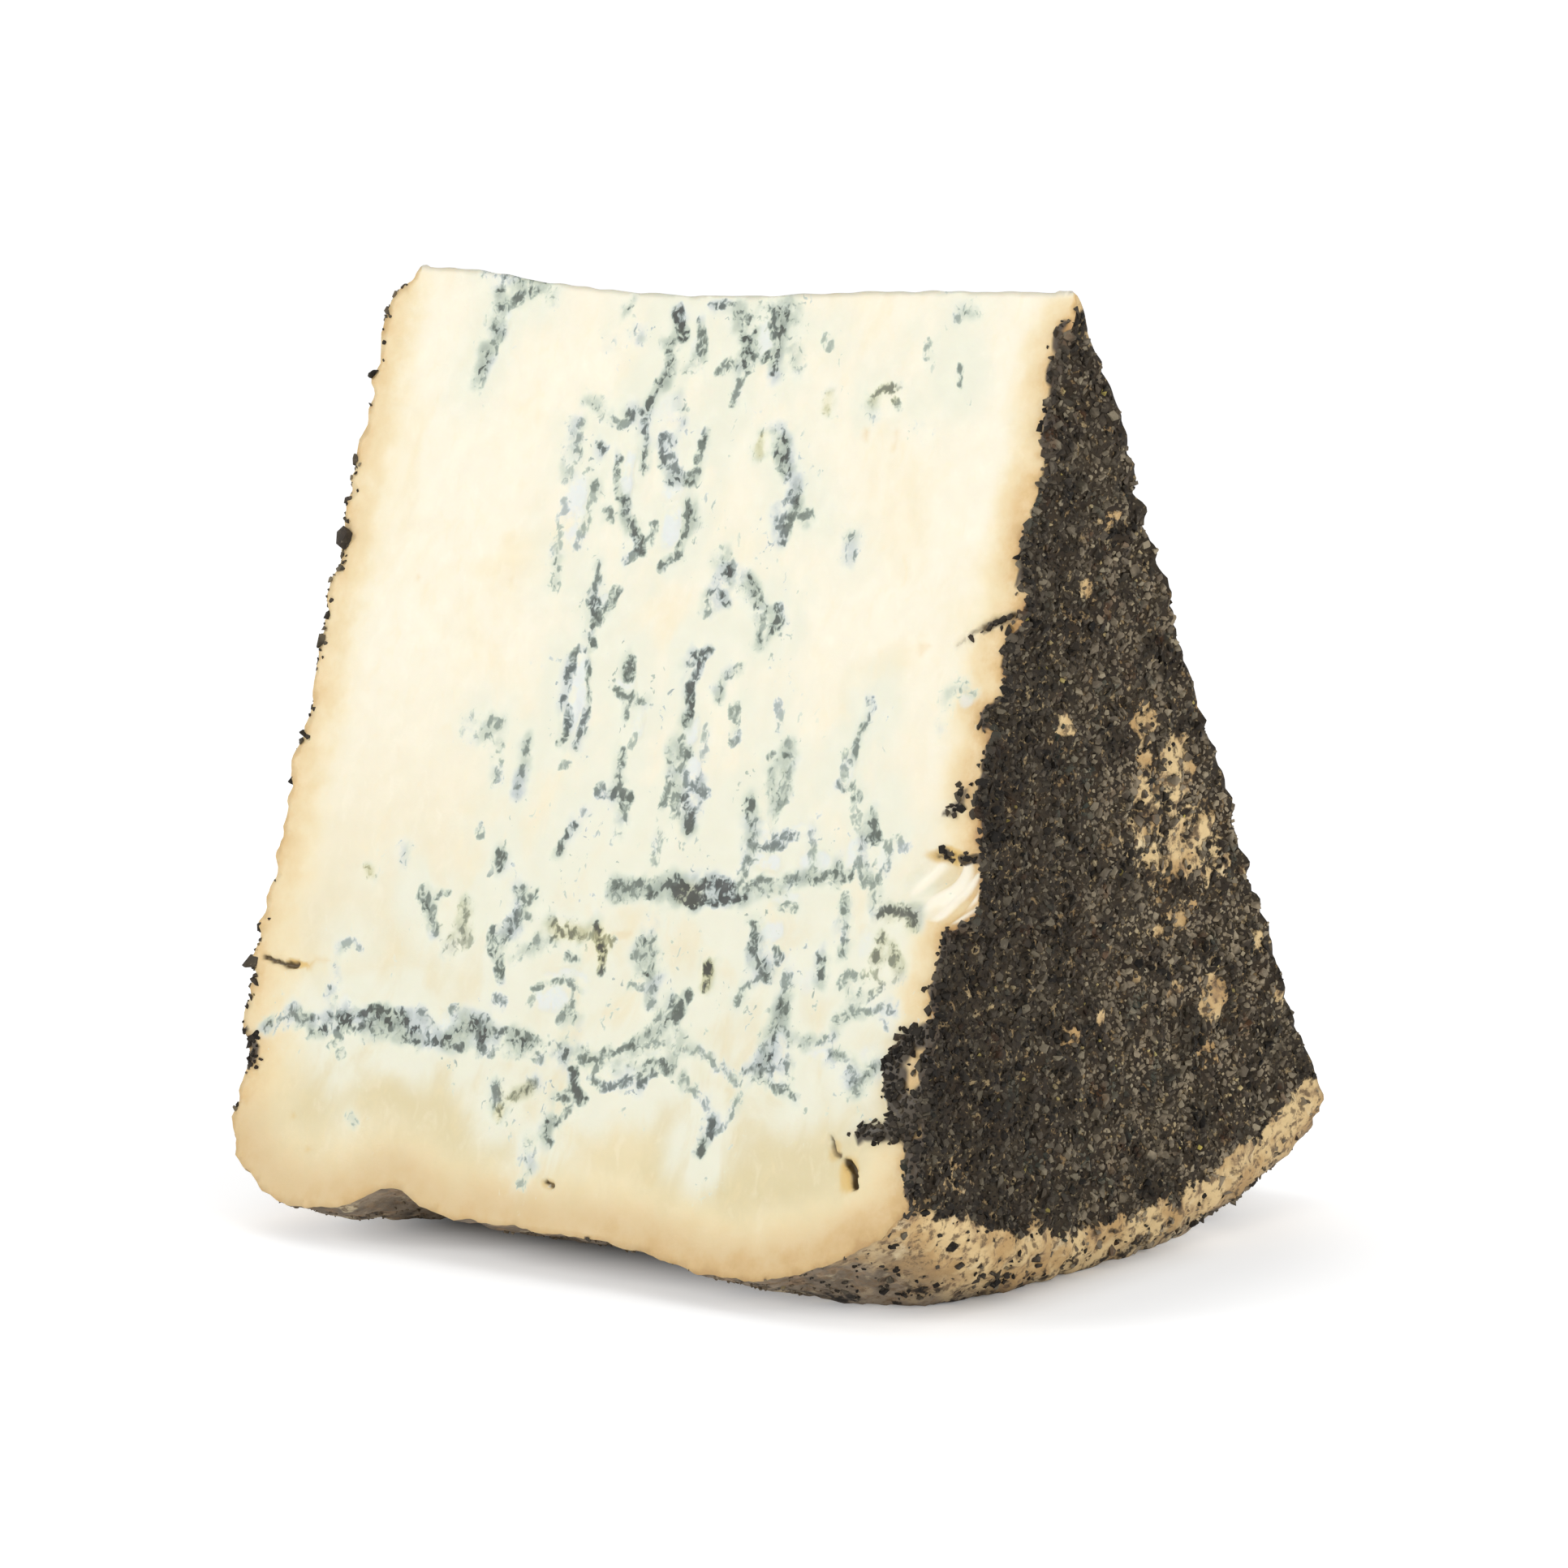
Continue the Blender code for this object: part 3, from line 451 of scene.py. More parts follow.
    (0.50, 0.54, (-8.0, 87.5), (-6.0, 88.1)),
    (0.42, 0.42, (-6.2, 89.6), (-5.4, 89.8)),
    (0.50, 0.42, (-4.1, 88.2), (-3.4, 88.2)),
    # the tail below the band
    (0.55, 0.68, (-0.6, 90.8), (-0.3, 92.0), (0.1, 93.0), (1.6, 93.5)),
    (0.45, 0.60, (-2.0, 93.8), (-0.4, 93.5), (1.2, 93.7)),
    (0.45, 0.48, (0.0, 94.6), (-1.2, 96.2), (-3.0, 97.4)),
    (0.50, 0.58, (-2.7, 98.2), (-2.0, 98.8)),
    (0.36, 0.34, (-4.8, 104.0), (-4.4, 104.1)),
    (0.70, 0.52, (-11.2, 93.8), (-10.4, 94.8), (-10.2, 95.6)),
    (0.45, 0.36, (-9.0, 94.3), (-7.5, 93.8), (-5.6, 92.5)),
)

# Smears are soft and grey green, with no dark grains: the same form
SMEARS = (
    (1.0, 0.30, (-35.0, 0.4), (-32.4, 0.6), (-27.0, 0.4)),
    (1.0, 0.34, (-33.0, 1.6), (-32.5, 4.6), (-32.0, 7.2)),
    (0.9, 0.38, (-33.2, 9.6), (-34.0, 12.8)),
    (0.7, 0.30, (-25.4, 0.5), (-24.7, 2.4)),
    (0.8, 0.30, (-13.2, 1.2), (-14.2, 2.4)),
    (0.7, 0.28, (-12.0, 5.1), (-11.4, 5.3)),
    (1.8, 0.12, (-16.0, 6.2), (-15.6, 7.0)),
    (0.9, 0.34, (-6.8, 6.4), (-6.1, 8.4), (-6.2, 10.4)),
    (0.9, 0.30, (-2.8, 9.2), (-2.0, 7.6)),
    (0.8, 0.25, (-3.6, 12.2), (-2.8, 15.6)),
    (0.7, 0.28, (-17.0, 13.8), (-14.6, 14.3), (-13.0, 15.4)),
    (1.4, 0.20, (-18.2, 17.0), (-18.4, 20.6), (-17.6, 23.0)),
    (0.9, 0.28, (-17.0, 32.4), (-17.0, 35.6)),
    (1.0, 0.30, (-3.6, 20.6), (-2.8, 22.6), (0.0, 22.0)),
    (1.2, 0.30, (-8.6, 25.4), (-6.4, 28.4)),
    (0.8, 0.34, (1.2, 25.8), (1.7, 27.6)),
    (1.2, 0.42, (6.0, 2.0), (9.2, 1.6)),
    (1.4, 0.40, (4.6, 3.0), (4.8, 8.4)),
    (1.2, 0.38, (8.8, 2.4), (9.0, 6.4)),
    (0.9, 0.34, (2.6, 1.8), (2.8, 3.6)),
    (0.9, 0.26, (10.6, 2.2), (10.7, 6.2)),
    (0.9, 0.22, (11.6, 6.8), (12.1, 9.0)),
    (0.7, 0.26, (17.5, 12.2), (17.8, 13.8)),
    (0.6, 0.26, (9.1, 17.4), (9.3, 19.0)),
    (1.3, 0.40, (11.2, 16.6), (12.2, 18.6), (13.6, 20.8)),
    (1.2, 0.36, (15.2, 22.4), (15.6, 24.6), (14.6, 27.4)),
    (1.1, 0.30, (14.0, 25.6), (17.6, 26.4)),
    (1.2, 0.22, (24.2, 28.2), (24.5, 30.6)),
    (1.2, 0.38, (6.8, 31.2), (8.0, 33.0), (10.6, 33.8), (12.4, 35.4), (13.6, 37.4)),
    (0.9, 0.26, (7.0, 32.6), (6.3, 35.0), (6.4, 37.2)),
    (0.8, 0.32, (7.8, 35.6), (8.3, 36.2)),
    (0.8, 0.28, (13.8, 37.8), (14.4, 41.0)),
    (0.8, 0.26, (10.2, 44.4), (12.0, 44.0)),
    (0.8, 0.28, (9.8, 46.4), (10.2, 47.0)),
    (1.3, 0.18, (23.8, 13.2), (24.6, 14.2)),
    (0.7, 0.24, (34.2, 2.2), (35.6, 2.6)),
    (1.2, 0.16, (31.0, 15.4), (32.0, 16.2)),
    (0.6, 0.22, (41.4, 46.4), (41.5, 44.6), (43.0, 44.0), (44.4, 45.0)),
    (0.6, 0.16, (41.4, 46.0), (41.0, 49.0)),
    (2.4, 0.22, (-24.8, 52.8), (-21.6, 53.6)),
    (1.0, 0.22, (-20.8, 54.0), (-20.2, 58.6)),
    (0.8, 0.20, (-16.2, 53.4), (-16.2, 60.2)),
    (1.0, 0.24, (-0.4, 62.4), (-0.3, 63.4)),
    (1.3, 0.20, (-31.2, 68.0), (-31.0, 69.4)),
    (0.7, 0.24, (-35.9, 70.8), (-35.6, 71.2)),
    (1.2, 0.30, (-26.8, 73.4), (-25.0, 76.4)),
    (1.2, 0.28, (-20.6, 73.6), (-20.2, 77.0), (-22.0, 78.8)),
    (1.0, 0.26, (-11.8, 78.3), (-10.0, 77.7)),
    (1.1, 0.26, (-9.4, 77.0), (-7.0, 76.0)),
    (1.6, 0.30, (-12.6, 72.0), (-13.4, 76.0), (-15.0, 78.0)),
    (1.2, 0.30, (-7.4, 75.0), (-3.6, 75.0)),
    (1.4, 0.26, (-3.6, 84.6), (-1.4, 84.4)),
    (1.0, 0.22, (-38.4, 80.6), (-38.0, 86.4)),
    (0.8, 0.30, (-37.8, 84.8), (-37.4, 87.4)),
    (0.9, 0.32, (-46.8, 90.2), (-44.6, 89.3), (-42.4, 88.7), (-40.0, 88.9)),
    (1.6, 0.44, (-38.8, 89.4), (-36.8, 88.8), (-35.4, 88.2)),
    (1.7, 0.46, (-35.4, 88.2), (-30.0, 88.0), (-25.2, 87.9)),
    (1.5, 0.34, (-25.0, 87.8), (-21.6, 88.6), (-18.0, 88.0)),
    (1.8, 0.50, (-17.2, 87.2), (-14.4, 88.4)),
    (1.5, 0.32, (-12.6, 88.4), (-9.0, 88.4), (-4.6, 88.6), (0.0, 88.4)),
    (1.2, 0.26, (0.6, 89.4), (5.0, 89.4), (9.4, 88.4), (12.6, 87.6)),
    (1.2, 0.26, (-4.6, 99.2), (-4.5, 101.2), (-3.8, 102.2)),
    (1.1, 0.36, (0.2, 94.6), (-1.4, 96.2), (-3.2, 97.6)),
    (1.1, 0.26, (-10.6, 93.6), (-9.6, 96.6)),
    (0.9, 0.24, (-9.0, 94.3), (-5.6, 92.6)),
    (0.7, 0.20, (-31.8, 99.4), (-31.2, 99.7)),
    (1.2, 0.20, (6.6, 70.4), (6.8, 73.6)),
    (1.9, 0.36, (6.2, 75.4), (7.6, 78.6)),
    (1.2, 0.26, (8.0, 79.4), (8.2, 82.6)),
    (1.3, 0.32, (12.2, 82.8), (9.6, 84.6), (7.4, 87.2)),
    (1.8, 0.26, (11.6, 87.8), (13.4, 85.4)),
    (1.1, 0.30, (17.9, 60.4), (18.2, 67.0)),
    (1.0, 0.24, (19.2, 55.0), (20.4, 58.4), (20.8, 60.6)),
    (1.4, 0.26, (20.8, 52.6), (21.2, 58.0)),
    (1.2, 0.30, (5.4, 53.8), (6.4, 57.6), (8.6, 60.0)),
    (1.0, 0.30, (9.0, 57.2), (9.2, 61.4)),
    (1.0, 0.28, (0.2, 69.8), (8.4, 69.2)),
    (1.4, 0.40, (9.4, 69.4), (17.0, 68.8)),
    (1.0, 0.28, (17.0, 68.8), (24.0, 67.0), (31.0, 65.8)),
    (1.2, 0.30, (33.6, 60.6), (34.4, 65.2)),
    (1.2, 0.26, (36.4, 66.4), (37.0, 69.4), (41.4, 69.8)),
    (1.4, 0.26, (38.4, 72.4), (38.6, 76.4), (36.0, 78.0)),
    (1.2, 0.24, (40.2, 73.4), (41.4, 76.0)),
    (1.2, 0.24, (35.6, 80.2), (41.0, 80.0)),
    (1.2, 0.24, (32.6, 69.0), (33.6, 74.2)),
    (1.1, 0.28, (30.8, 75.0), (31.2, 77.2)),
    (1.4, 0.34, (21.6, 75.0), (23.8, 77.6)),
    (1.8, 0.34, (26.6, 81.6), (26.4, 86.0), (25.4, 88.4)),
    (1.2, 0.26, (27.4, 84.0), (29.0, 88.8)),
    (1.0, 0.24, (30.6, 84.4), (34.2, 83.2)),
    (1.2, 0.30, (34.4, 85.5), (36.6, 86.0)),
    (1.2, 0.32, (37.2, 87.4), (38.8, 88.4), (40.6, 86.2)),
    (0.8, 0.20, (14.6, 87.0), (18.4, 87.6), (21.8, 89.2)),
    (0.8, 0.20, (15.2, 90.2), (18.6, 92.2)),
    (1.0, 0.30, (19.8, 94.6), (19.4, 97.0)),
)

# Pale blue-white mould inside the pockets: x, radius, half width, half height, strength
BLOOMS = (
    (-31.6, 5.0, 1.2, 2.4, 0.7),
    (-2.8, 7.0, 1.2, 2.2, 0.5),
    (-4.6, 14.0, 2.2, 2.6, 0.4),
    (-9.0, 22.4, 1.1, 3.2, 1.0),
    (-15.8, 26.6, 1.9, 4.2, 0.8),
    (-2.2, 23.8, 1.6, 1.4, 0.9),
    (-1.2, 27.6, 1.4, 2.8, 0.9),
    (6.6, 4.6, 1.9, 3.6, 0.7),
    (6.4, 7.0, 0.8, 1.2, 0.7),
    (-9.0, 37.2, 0.9, 1.0, 1.0),
    (-10.4, 48.0, 1.3, 4.8, 0.9),
    (-3.6, 46.4, 1.4, 1.2, 0.6),
    (-1.0, 51.0, 0.9, 1.8, 0.6),
    (7.0, 51.0, 1.2, 1.8, 0.9),
    (8.2, 56.0, 1.1, 2.4, 0.9),
    (19.6, 61.6, 1.0, 1.8, 0.6),
    (20.6, 65.2, 2.4, 1.1, 1.0),
    (27.6, 64.6, 2.4, 1.2, 0.9),
    (25.0, 61.2, 1.8, 0.8, 0.5),
    (24.0, 68.8, 2.6, 0.8, 0.6),
    (29.6, 54.2, 0.7, 2.0, 0.6),
    (32.0, 62.8, 0.9, 2.4, 0.6),
    (36.0, 63.6, 0.9, 2.6, 0.5),
    (43.4, 45.6, 1.2, 0.9, 0.6),
    (23.2, 72.8, 1.5, 1.3, 1.0),
    (23.4, 75.2, 1.3, 1.2, 0.6),
    (29.2, 77.6, 1.6, 2.0, 0.4),
    (33.0, 70.6, 0.7, 2.8, 0.5),
    (36.4, 73.0, 1.4, 2.2, 0.4),
    (-14.8, 77.0, 0.9, 0.9, 0.9),
    (-6.0, 82.8, 2.6, 1.8, 0.9),
    (-4.0, 80.0, 3.4, 0.8, 0.6),
    (-19.8, 87.2, 1.8, 1.4, 0.9),
    (-35.0, 86.2, 2.6, 0.9, 0.5),
    (-9.4, 88.8, 1.8, 1.0, 0.5),
    (-4.4, 101.0, 0.8, 2.0, 0.6),
    (5.8, 89.6, 2.8, 1.0, 0.6),
    (11.0, 87.6, 1.4, 0.8, 0.6),
    (27.0, 85.6, 1.2, 1.8, 0.6),
    (33.0, 85.4, 2.2, 0.7, 0.6),
    (39.4, 85.0, 1.4, 1.2, 0.4),
)

# Where the marbling turns olive, and where the paste is stained yellow: the same form
OLIVES = (
    (-5.0, 75.0, 4.0, 1.4, 0.8),
    (0.0, 76.5, 2.0, 3.0, 0.9),
    (15.7, 78.5, 1.2, 2.4, 0.8),
    (-21.0, 76.0, 3.0, 4.0, 0.5),
    (40.0, 73.0, 4.0, 5.0, 0.6),
    (25.6, 12.0, 2.4, 2.0, 0.6),
    (17.6, 13.0, 1.2, 1.6, 0.9),
    (9.2, 18.2, 1.0, 1.4, 0.9),
    (-7.6, 94.0, 3.0, 2.0, 0.7),
    (-10.0, 96.4, 1.0, 1.2, 0.9),
    (-35.8, 71.0, 1.2, 1.0, 0.9),
    (11.0, 69.4, 2.0, 1.4, 0.5),
)
STAINS = (
    (23.5, 17.0, 0.8, 0.7, 0.7),
    (27.9, 17.6, 0.5, 2.8, 0.4),
    (12.2, 19.8, 0.8, 0.7, 0.5),
    (-2.0, 74.6, 1.6, 0.8, 0.6),
    (2.4, 75.0, 1.6, 0.6, 0.4),
    (-44.0, 82.6, 2.2, 0.45, 0.9),
    (-40.4, 82.0, 1.6, 0.4, 0.4),
    (36.8, 40.4, 1.4, 0.6, 0.5),
    (45.4, 62.6, 3.4, 0.8, 0.9),
    (-37.4, 36.6, 0.7, 0.6, 0.4),
    (-23.6, 35.6, 0.8, 0.8, 0.35),
    (-35.4, 57.0, 0.8, 0.8, 0.25),
    (-40.4, 100.0, 0.5, 0.6, 0.5),
    (-37.0, 103.3, 0.6, 0.6, 0.5),
    (39.8, 98.0, 1.3, 2.0, 0.8),
    (37.4, 95.6, 0.9, 1.6, 0.5),
    (-1.0, 103.7, 0.8, 0.7, 0.5),
    (13.0, 101.4, 1.0, 1.2, 0.25),
    (23.0, 102.0, 0.8, 0.6, 0.25),
)

# Holes and cracks that reach into the paste, brown partly of their own and partly with painted shade in
# their hollows: half width, depth share, then points
HOLES = (
    (0.14, 0.50, (-1.2, 103.5), (-0.6, 103.9)),
    (0.30, 0.85, (39.4, 96.8), (40.2, 97.6), (40.8, 98.8)),
    (0.18, 0.40, (36.6, 94.2), (37.4, 95.8), (38.2, 96.2)),
    (0.16, 0.55, (-49.6, 82.1), (-47.6, 82.4), (-46.0, 82.8), (-44.0, 82.7)),
    (0.20, 0.45, (48.2, 36.0), (45.6, 36.6), (44.0, 37.5)),
    (0.12, 0.30, (43.6, 37.7), (42.6, 38.4)),
    (0.10, 0.24, (41.8, 38.8), (40.8, 39.5)),
    (0.20, 0.50, (48.8, 62.5), (47.2, 62.9)),
    (0.14, 0.35, (45.2, 62.9), (43.6, 62.6)),
)

# Where crumbs have spilled on to the front cut face, in the form of the smears
SPILLS = (
    (0.5, 1.0, (47.6, 4.0), (47.6, 10.0), (48.0, 17.0)),
    (0.5, 0.8, (48.2, 26.0), (48.4, 33.0)),
    (0.45, 0.62, (48.4, 36.4), (46.0, 37.0), (44.6, 37.8)),
    (0.3, 0.45, (43.4, 38.0), (42.4, 38.6)),
    (0.3, 0.8, (44.6, 62.4), (45.2, 62.6)),
    (0.4, 0.9, (47.0, 62.8), (49.4, 62.6)),
    (0.7, 1.0, (47.2, 46.6), (47.0, 48.4)),
    (0.5, 0.8, (48.0, 50.0), (48.4, 57.0)),
    (0.7, 0.7, (43.9, 58.0), (45.2, 57.4), (46.0, 55.8)),
    (0.6, 1.0, (47.6, 71.0), (47.2, 74.0), (46.6, 76.6), (47.4, 79.0)),
    (1.5, 1.0, (46.8, 81.8), (45.0, 82.6), (43.6, 84.4), (43.8, 87.0), (44.6, 89.8)),
    (1.3, 1.0, (48.0, 82.4), (47.8, 86.0)),
    (1.6, 1.0, (47.8, 88.4), (46.6, 91.4)),
    (1.1, 1.0, (40.6, 93.6), (43.2, 92.8), (46.8, 92.6)),
    (0.9, 1.0, (47.8, 94.0), (48.2, 99.0)),
    (0.5, 0.9, (-49.2, 90.6), (-48.2, 92.4), (-47.6, 93.8)),
)

# Worn places on the coat of the right end, where tan rind shows between the crumbs:
# (radius, angle in degrees, half height, half width, bareness)
BARE_PATCHES = (
    (50.0, 14.0, 4.0, 3.2, 0.75),
    (56.5, 12.8, 4.6, 2.6, 1.00),
    (57.0, 18.6, 5.6, 3.6, 0.95),
    (63.0, 11.0, 3.6, 3.4, 0.90),
    (66.0, 18.0, 4.6, 6.0, 1.00),
    (62.0, 15.0, 9.0, 8.0, 0.62),
    (73.5, 14.0, 1.6, 6.0, 0.85),
    (71.0, 21.0, 3.0, 4.0, 0.70),
    (84.8, 17.4, 3.6, 3.4, 1.00),
    (83.5, 24.3, 2.8, 1.6, 0.90),
    (90.9, 24.4, 1.8, 1.2, 0.85),
    (81.0, 12.8, 1.4, 3.0, 0.80),
    (90.5, 14.9, 2.4, 2.6, 0.75),
    (81.3, -1.9, 1.6, 1.2, 0.80),
    (47.0, -3.2, 2.0, 1.8, 0.95),
    (33.0, 3.0, 1.6, 1.4, 0.80),
    (26.0, 12.0, 2.0, 3.0, 0.55),
    (80.0, 2.4, 1.4, 1.2, 0.90),
    (96.0, -15.0, 3.0, 3.6, 0.55),
)

# Lower edge of the coat: radius at each angle in degrees, then how much of the rim, of the
# underside and of the worn places still has crumbs
BAND_ANGLES = (-18.7, -12.0, -5.0, 5.0, 10.0, 20.0, 25.5)
BAND_RADII = (99.8, 101.0, 102.2, 103.4, 104.0, 103.2, 102.4)
BAND_COVER = 0.08
UNDERSIDE_COVER = 0.40
STRAY_COVER = 0.28

# Crumbs that show past the left end along the front cut: share of the coat by radius in
# millimetres, and how far behind the cut the larger lumps among them reach and how many they are
PEEK_RADII = (0, 2, 3, 7, 8, 22, 23, 32, 33, 34, 47, 48, 57, 58, 77, 79, 94, 96)
PEEK_COVER = (0.0, 0.0, 0.9, 0.9, 0.1, 0.1, 0.9, 0.9, 0.3, 1.0, 1.0, 0.4, 0.4, 0.1, 0.1, 0.9, 0.9, 0.1)
LUMP_REACH = 1.8 * MM
LUMP_SHARE = 0.55

# How far the paste stands out at each end along the front cut, in millimetres, by radius
RIGHT_EDGE_RADII = (0, 3, 5, 8, 12, 18, 24, 26, 30, 35, 40, 44, 47, 51, 58, 62, 69, 71, 79, 82, 94, 99)
RIGHT_EDGE_BULGES = (
    0.9, 0.8, 0.3, -0.3, -0.8, 0.9, 0.2, -0.5, 0.3, 1.4, -0.3, 0.8, -1.0, 0.1, 0.2, 1.2, 1.9, -0.6,
    -0.8, 0.2, 0.2, 0.5,
)
LEFT_EDGE_RADII = (
    0, 1, 3, 5, 8, 11, 14, 17, 20, 23, 26, 30, 33, 36, 40, 43, 46, 49, 54, 58, 62, 66, 70, 75, 80, 83,
    85, 88, 91, 92, 94, 97, 99, 102,
)
LEFT_EDGE_BULGES = (
    -1.6, -1.2, -0.2, 0.3, 0.4, -0.2, 0.3, -0.4, 0.0, 0.4, 0.2, 0.4, -0.3, -0.1, 0.7, 0.5, 0.9, 0.2,
    0.4, 1.0, 0.5, 0.4, 0.6, 0.9, 1.2, 1.2, 0.3, 0.6, 0.0, -1.1, -0.9, -0.7, -0.7, 0.0,
)
EDGE_BULGE_REACH = 3.0 * MM

# Colours of the paste, from the ridge down, yellower with ripeness and darker with painted shade
# low on the face, towards its low foot, tanner and darker there with painted shade, in clouds, in
# the ripe left bulge, from within to the rind, in the zone of the marbling and in the torn chip,
# paler with fresh paste and a painted highlight on its fibres, and of the mould by how thickly it grows
PASTE_TOP = "#e8e1cc"
PASTE_LOW_RIPE_AND_SHADED = "#cfc196"
PASTE_FOOT_TAN_AND_SHADE = "#bfa273"
PASTE_CLOUD = "#e3d4ae"
PASTE_RIPE = "#d0be95"
PASTE_EDGE = (
    (0.0, "#e6dcc0"),
    (0.30, "#e3d3ab"),
    (0.60, "#dcc597"),
    (0.76, "#d4b47e"),
    (0.90, "#c6a267"),
    (1.0, "#b1864b"),
)
GREEN_ZONE = "#dddcc9"
TORN_PASTE_AND_HIGHLIGHT = "#eee7d4"
GREEN_MOULD = (
    (0.08, "#dfe2d0"),
    (0.30, "#b8c0b0"),
    (0.55, "#8a958a"),
    (0.80, "#566158"),
    (1.0, "#2d3430"),
)
BLUE_MOULD = (
    (0.08, "#dfe2d8"),
    (0.30, "#bac1bf"),
    (0.55, "#87928f"),
    (0.80, "#525d5d"),
    (1.0, "#2a3032"),
)
OLIVE_MOULD = (
    (0.08, "#e2dfbf"),
    (0.30, "#bfbb92"),
    (0.55, "#8d8a63"),
    (0.80, "#555235"),
    (1.0, "#25241a"),
)

# Crumbs: how many shapes and their corners, how far each corner is from the middle, their share
# of full width and height, how far they tilt, how many are tried for each that fits, the seed of
# their sizes and how much likelier small ones are, how dusty the ones pressed into the rim are,
# and the colours that they have, by their shade
CRUMB_SHAPES = 12
CRUMB_CORNERS = 12
CRUMB_REACH = (0.38, 0.56)
CRUMB_WIDTH = (0.70, 1.00)
CRUMB_HEIGHT = (0.55, 0.85)
CRUMB_TILT = 1.1
CROWDING = 2.2
LUCK_SEED = 7
LUCK_POWER = 1.8
PRESSED_DUST = 0.45
CRUMB_COLOURS = (
    (0.0, "#120f0c"),
    (0.22, "#29231b"),
    (0.50, "#4a4137"),
    (0.75, "#706656"),
    (0.89, "#938872"),
    (0.962, "#a4967b"),
    (0.990, "#bfab7e"),
    (1.0, "#c8b65a"),
)

# Pieces of crumbs: the field of the wedge that each follows and its lightest shade, then the
# inputs of its scatter
CRUMB_INPUTS = (
    ("Spacing", "NodeSocketFloat"),
    ("Smallest", "NodeSocketFloat"),
    ("Largest", "NodeSocketFloat"),
    ("Seed", "NodeSocketInt"),
)
CRUMB_PIECES = {
    "right_coat_crumbs": ("cover_right", 0.92, (1.00 * MM, 0.80 * MM, 1.8 * MM, 1)),
    "right_coat_fine_crumbs": ("cover_right", 1.00, (0.54 * MM, 0.40 * MM, 1.0 * MM, 2)),
    "left_coat_crumbs": ("cover_left", 0.92, (1.00 * MM, 0.80 * MM, 1.8 * MM, 3)),
    "left_coat_fine_crumbs": ("cover_left", 1.00, (0.54 * MM, 0.40 * MM, 1.0 * MM, 4)),
    "left_edge_lumps": ("lumps", 0.85, (2.00 * MM, 1.70 * MM, 3.4 * MM, 7)),
    "rim_crumbs": ("cover_rim", 1.00, (0.62 * MM, 0.35 * MM, 1.0 * MM, 5)),
    "spilled_crumbs": ("spill", 0.85, (0.50 * MM, 0.60 * MM, 1.7 * MM, 6)),
}

# Studio floor: half its size, and how high its far edges turn up, so that no horizon shows
FLOOR_HALF = 300.0
FLOOR_LIP = 12.0

# How the floor glows, with the wedge's shadow painted in: least under the wedge's foot, whose box
# is given by its middle and half size, and brighter away from it, as (from, to, added glow)
FOOT_MIDDLE = (6.0 * MM, -7.0 * MM, 0.0)
FOOT_HALF = (33.0 * MM, 12.0 * MM, 0.0)
FOOT_SHADOW_GLOW = 0.02
SHADOW_GLOW_RISES = (
    (2.0 * MM, 18.0 * MM, 0.40),
    (18.0 * MM, 38.0 * MM, 0.12),
    (200.0 * MM, 1300.0 * MM, 0.10),
)

# Light all round, and lights as (name, place, aim, size, power)
WORLD_STRENGTH = 0.55
LIGHTS = (
    ("overhead_softbox", (0.0, -0.20, 1.10), (0.0, 0.0, 0.05), 0.8, 1.2),
    ("left_key", (-0.70, -0.85, 0.60), (0.0, 0.0, 0.05), 0.42, 4.4),
    ("front_fill", (0.95, -0.35, 0.55), (0.0, 0.0, 0.05), 0.60, 4.4),
)

# The photograph's camera, with its turns in degrees: the size of the photograph and its focal
# length in pixels, the sensor's width in millimetres, and how far away it still sees
PHOTO_SIZE = 1932.0
FOCAL_PIXELS = 7000.0
SENSOR_WIDTH = 36.0
CAMERA_TURN = 38.0
CAMERA_RISE = 7.8
CAMERA_ROLL = 1.0
CAMERA_DISTANCE = 650.0 * MM
CAMERA_LENS = SENSOR_WIDTH * FOCAL_PIXELS / PHOTO_SIZE
CAMERA_AIM = (RIDGE_X, RIDGE_Y, 54.0 * MM)
CAMERA_SHIFT = (5.7 * MM, -2.2 * MM)
CAMERA_REACH = 1000.0

# What the wedge's mesh carries at each of its places
FIELD_NAMES = (
    "near", "growth", "soft", "halo", "zone", "bloom", "olive", "stain", "hole", "edge", "torn",
    "cover", "cover_right", "cover_left", "cover_rim", "lumps", "rim", "spill",
)


def linear(colour):
    """A colour written as sRGB hex, as linear red, green, blue and full alpha."""
    channels = [int(colour[index:index + 2], 16) / 255.0 for index in (1, 3, 5)]
    return tuple(c / 12.92 if c <= 0.04045 else ((c + 0.055) / 1.055) ** 2.4 for c in channels) + (1.0,)


def add(tree, kind, inputs=(), output=0, **settings):
    """Add a node and give one of its outputs: its settings, then values or links for its inputs.

    Inputs go by place or by name, a colour may be written as hex, and a ramp's stops as a table.
    """
    node = tree.nodes.new(kind)
    for name, value in settings.items():
        if name == "stops":
            set_stops(node.color_ramp, value)
        else:
            setattr(node, name, value)
    for key, value in inputs.items() if isinstance(inputs, dict) else enumerate(inputs):
        if isinstance(value, bpy.types.NodeSocket):
            tree.links.new(value, node.inputs[key])
        else:
            is_colour = isinstance(value, str) and value.startswith("#")
            node.inputs[key].default_value = linear(value) if is_colour else value
    return node.outputs[output] if node.outputs else node


def set_stops(ramp, stops):
    """Give a colour ramp its stops: (position, colour)."""
    first, last = ramp.elements
    first.position, first.color = stops[0][0], linear(stops[0][1])
    last.position, last.color = stops[-1][0], linear(stops[-1][1])
    for position, colour in stops[1:-1]:
        ramp.elements.new(position).color = linear(colour)


def bell(value, centre, half_width):
    """A smooth swell from 1 at its centre to nothing well outside."""
    return np.exp(-0.5 * ((value - centre) / half_width) ** 2)


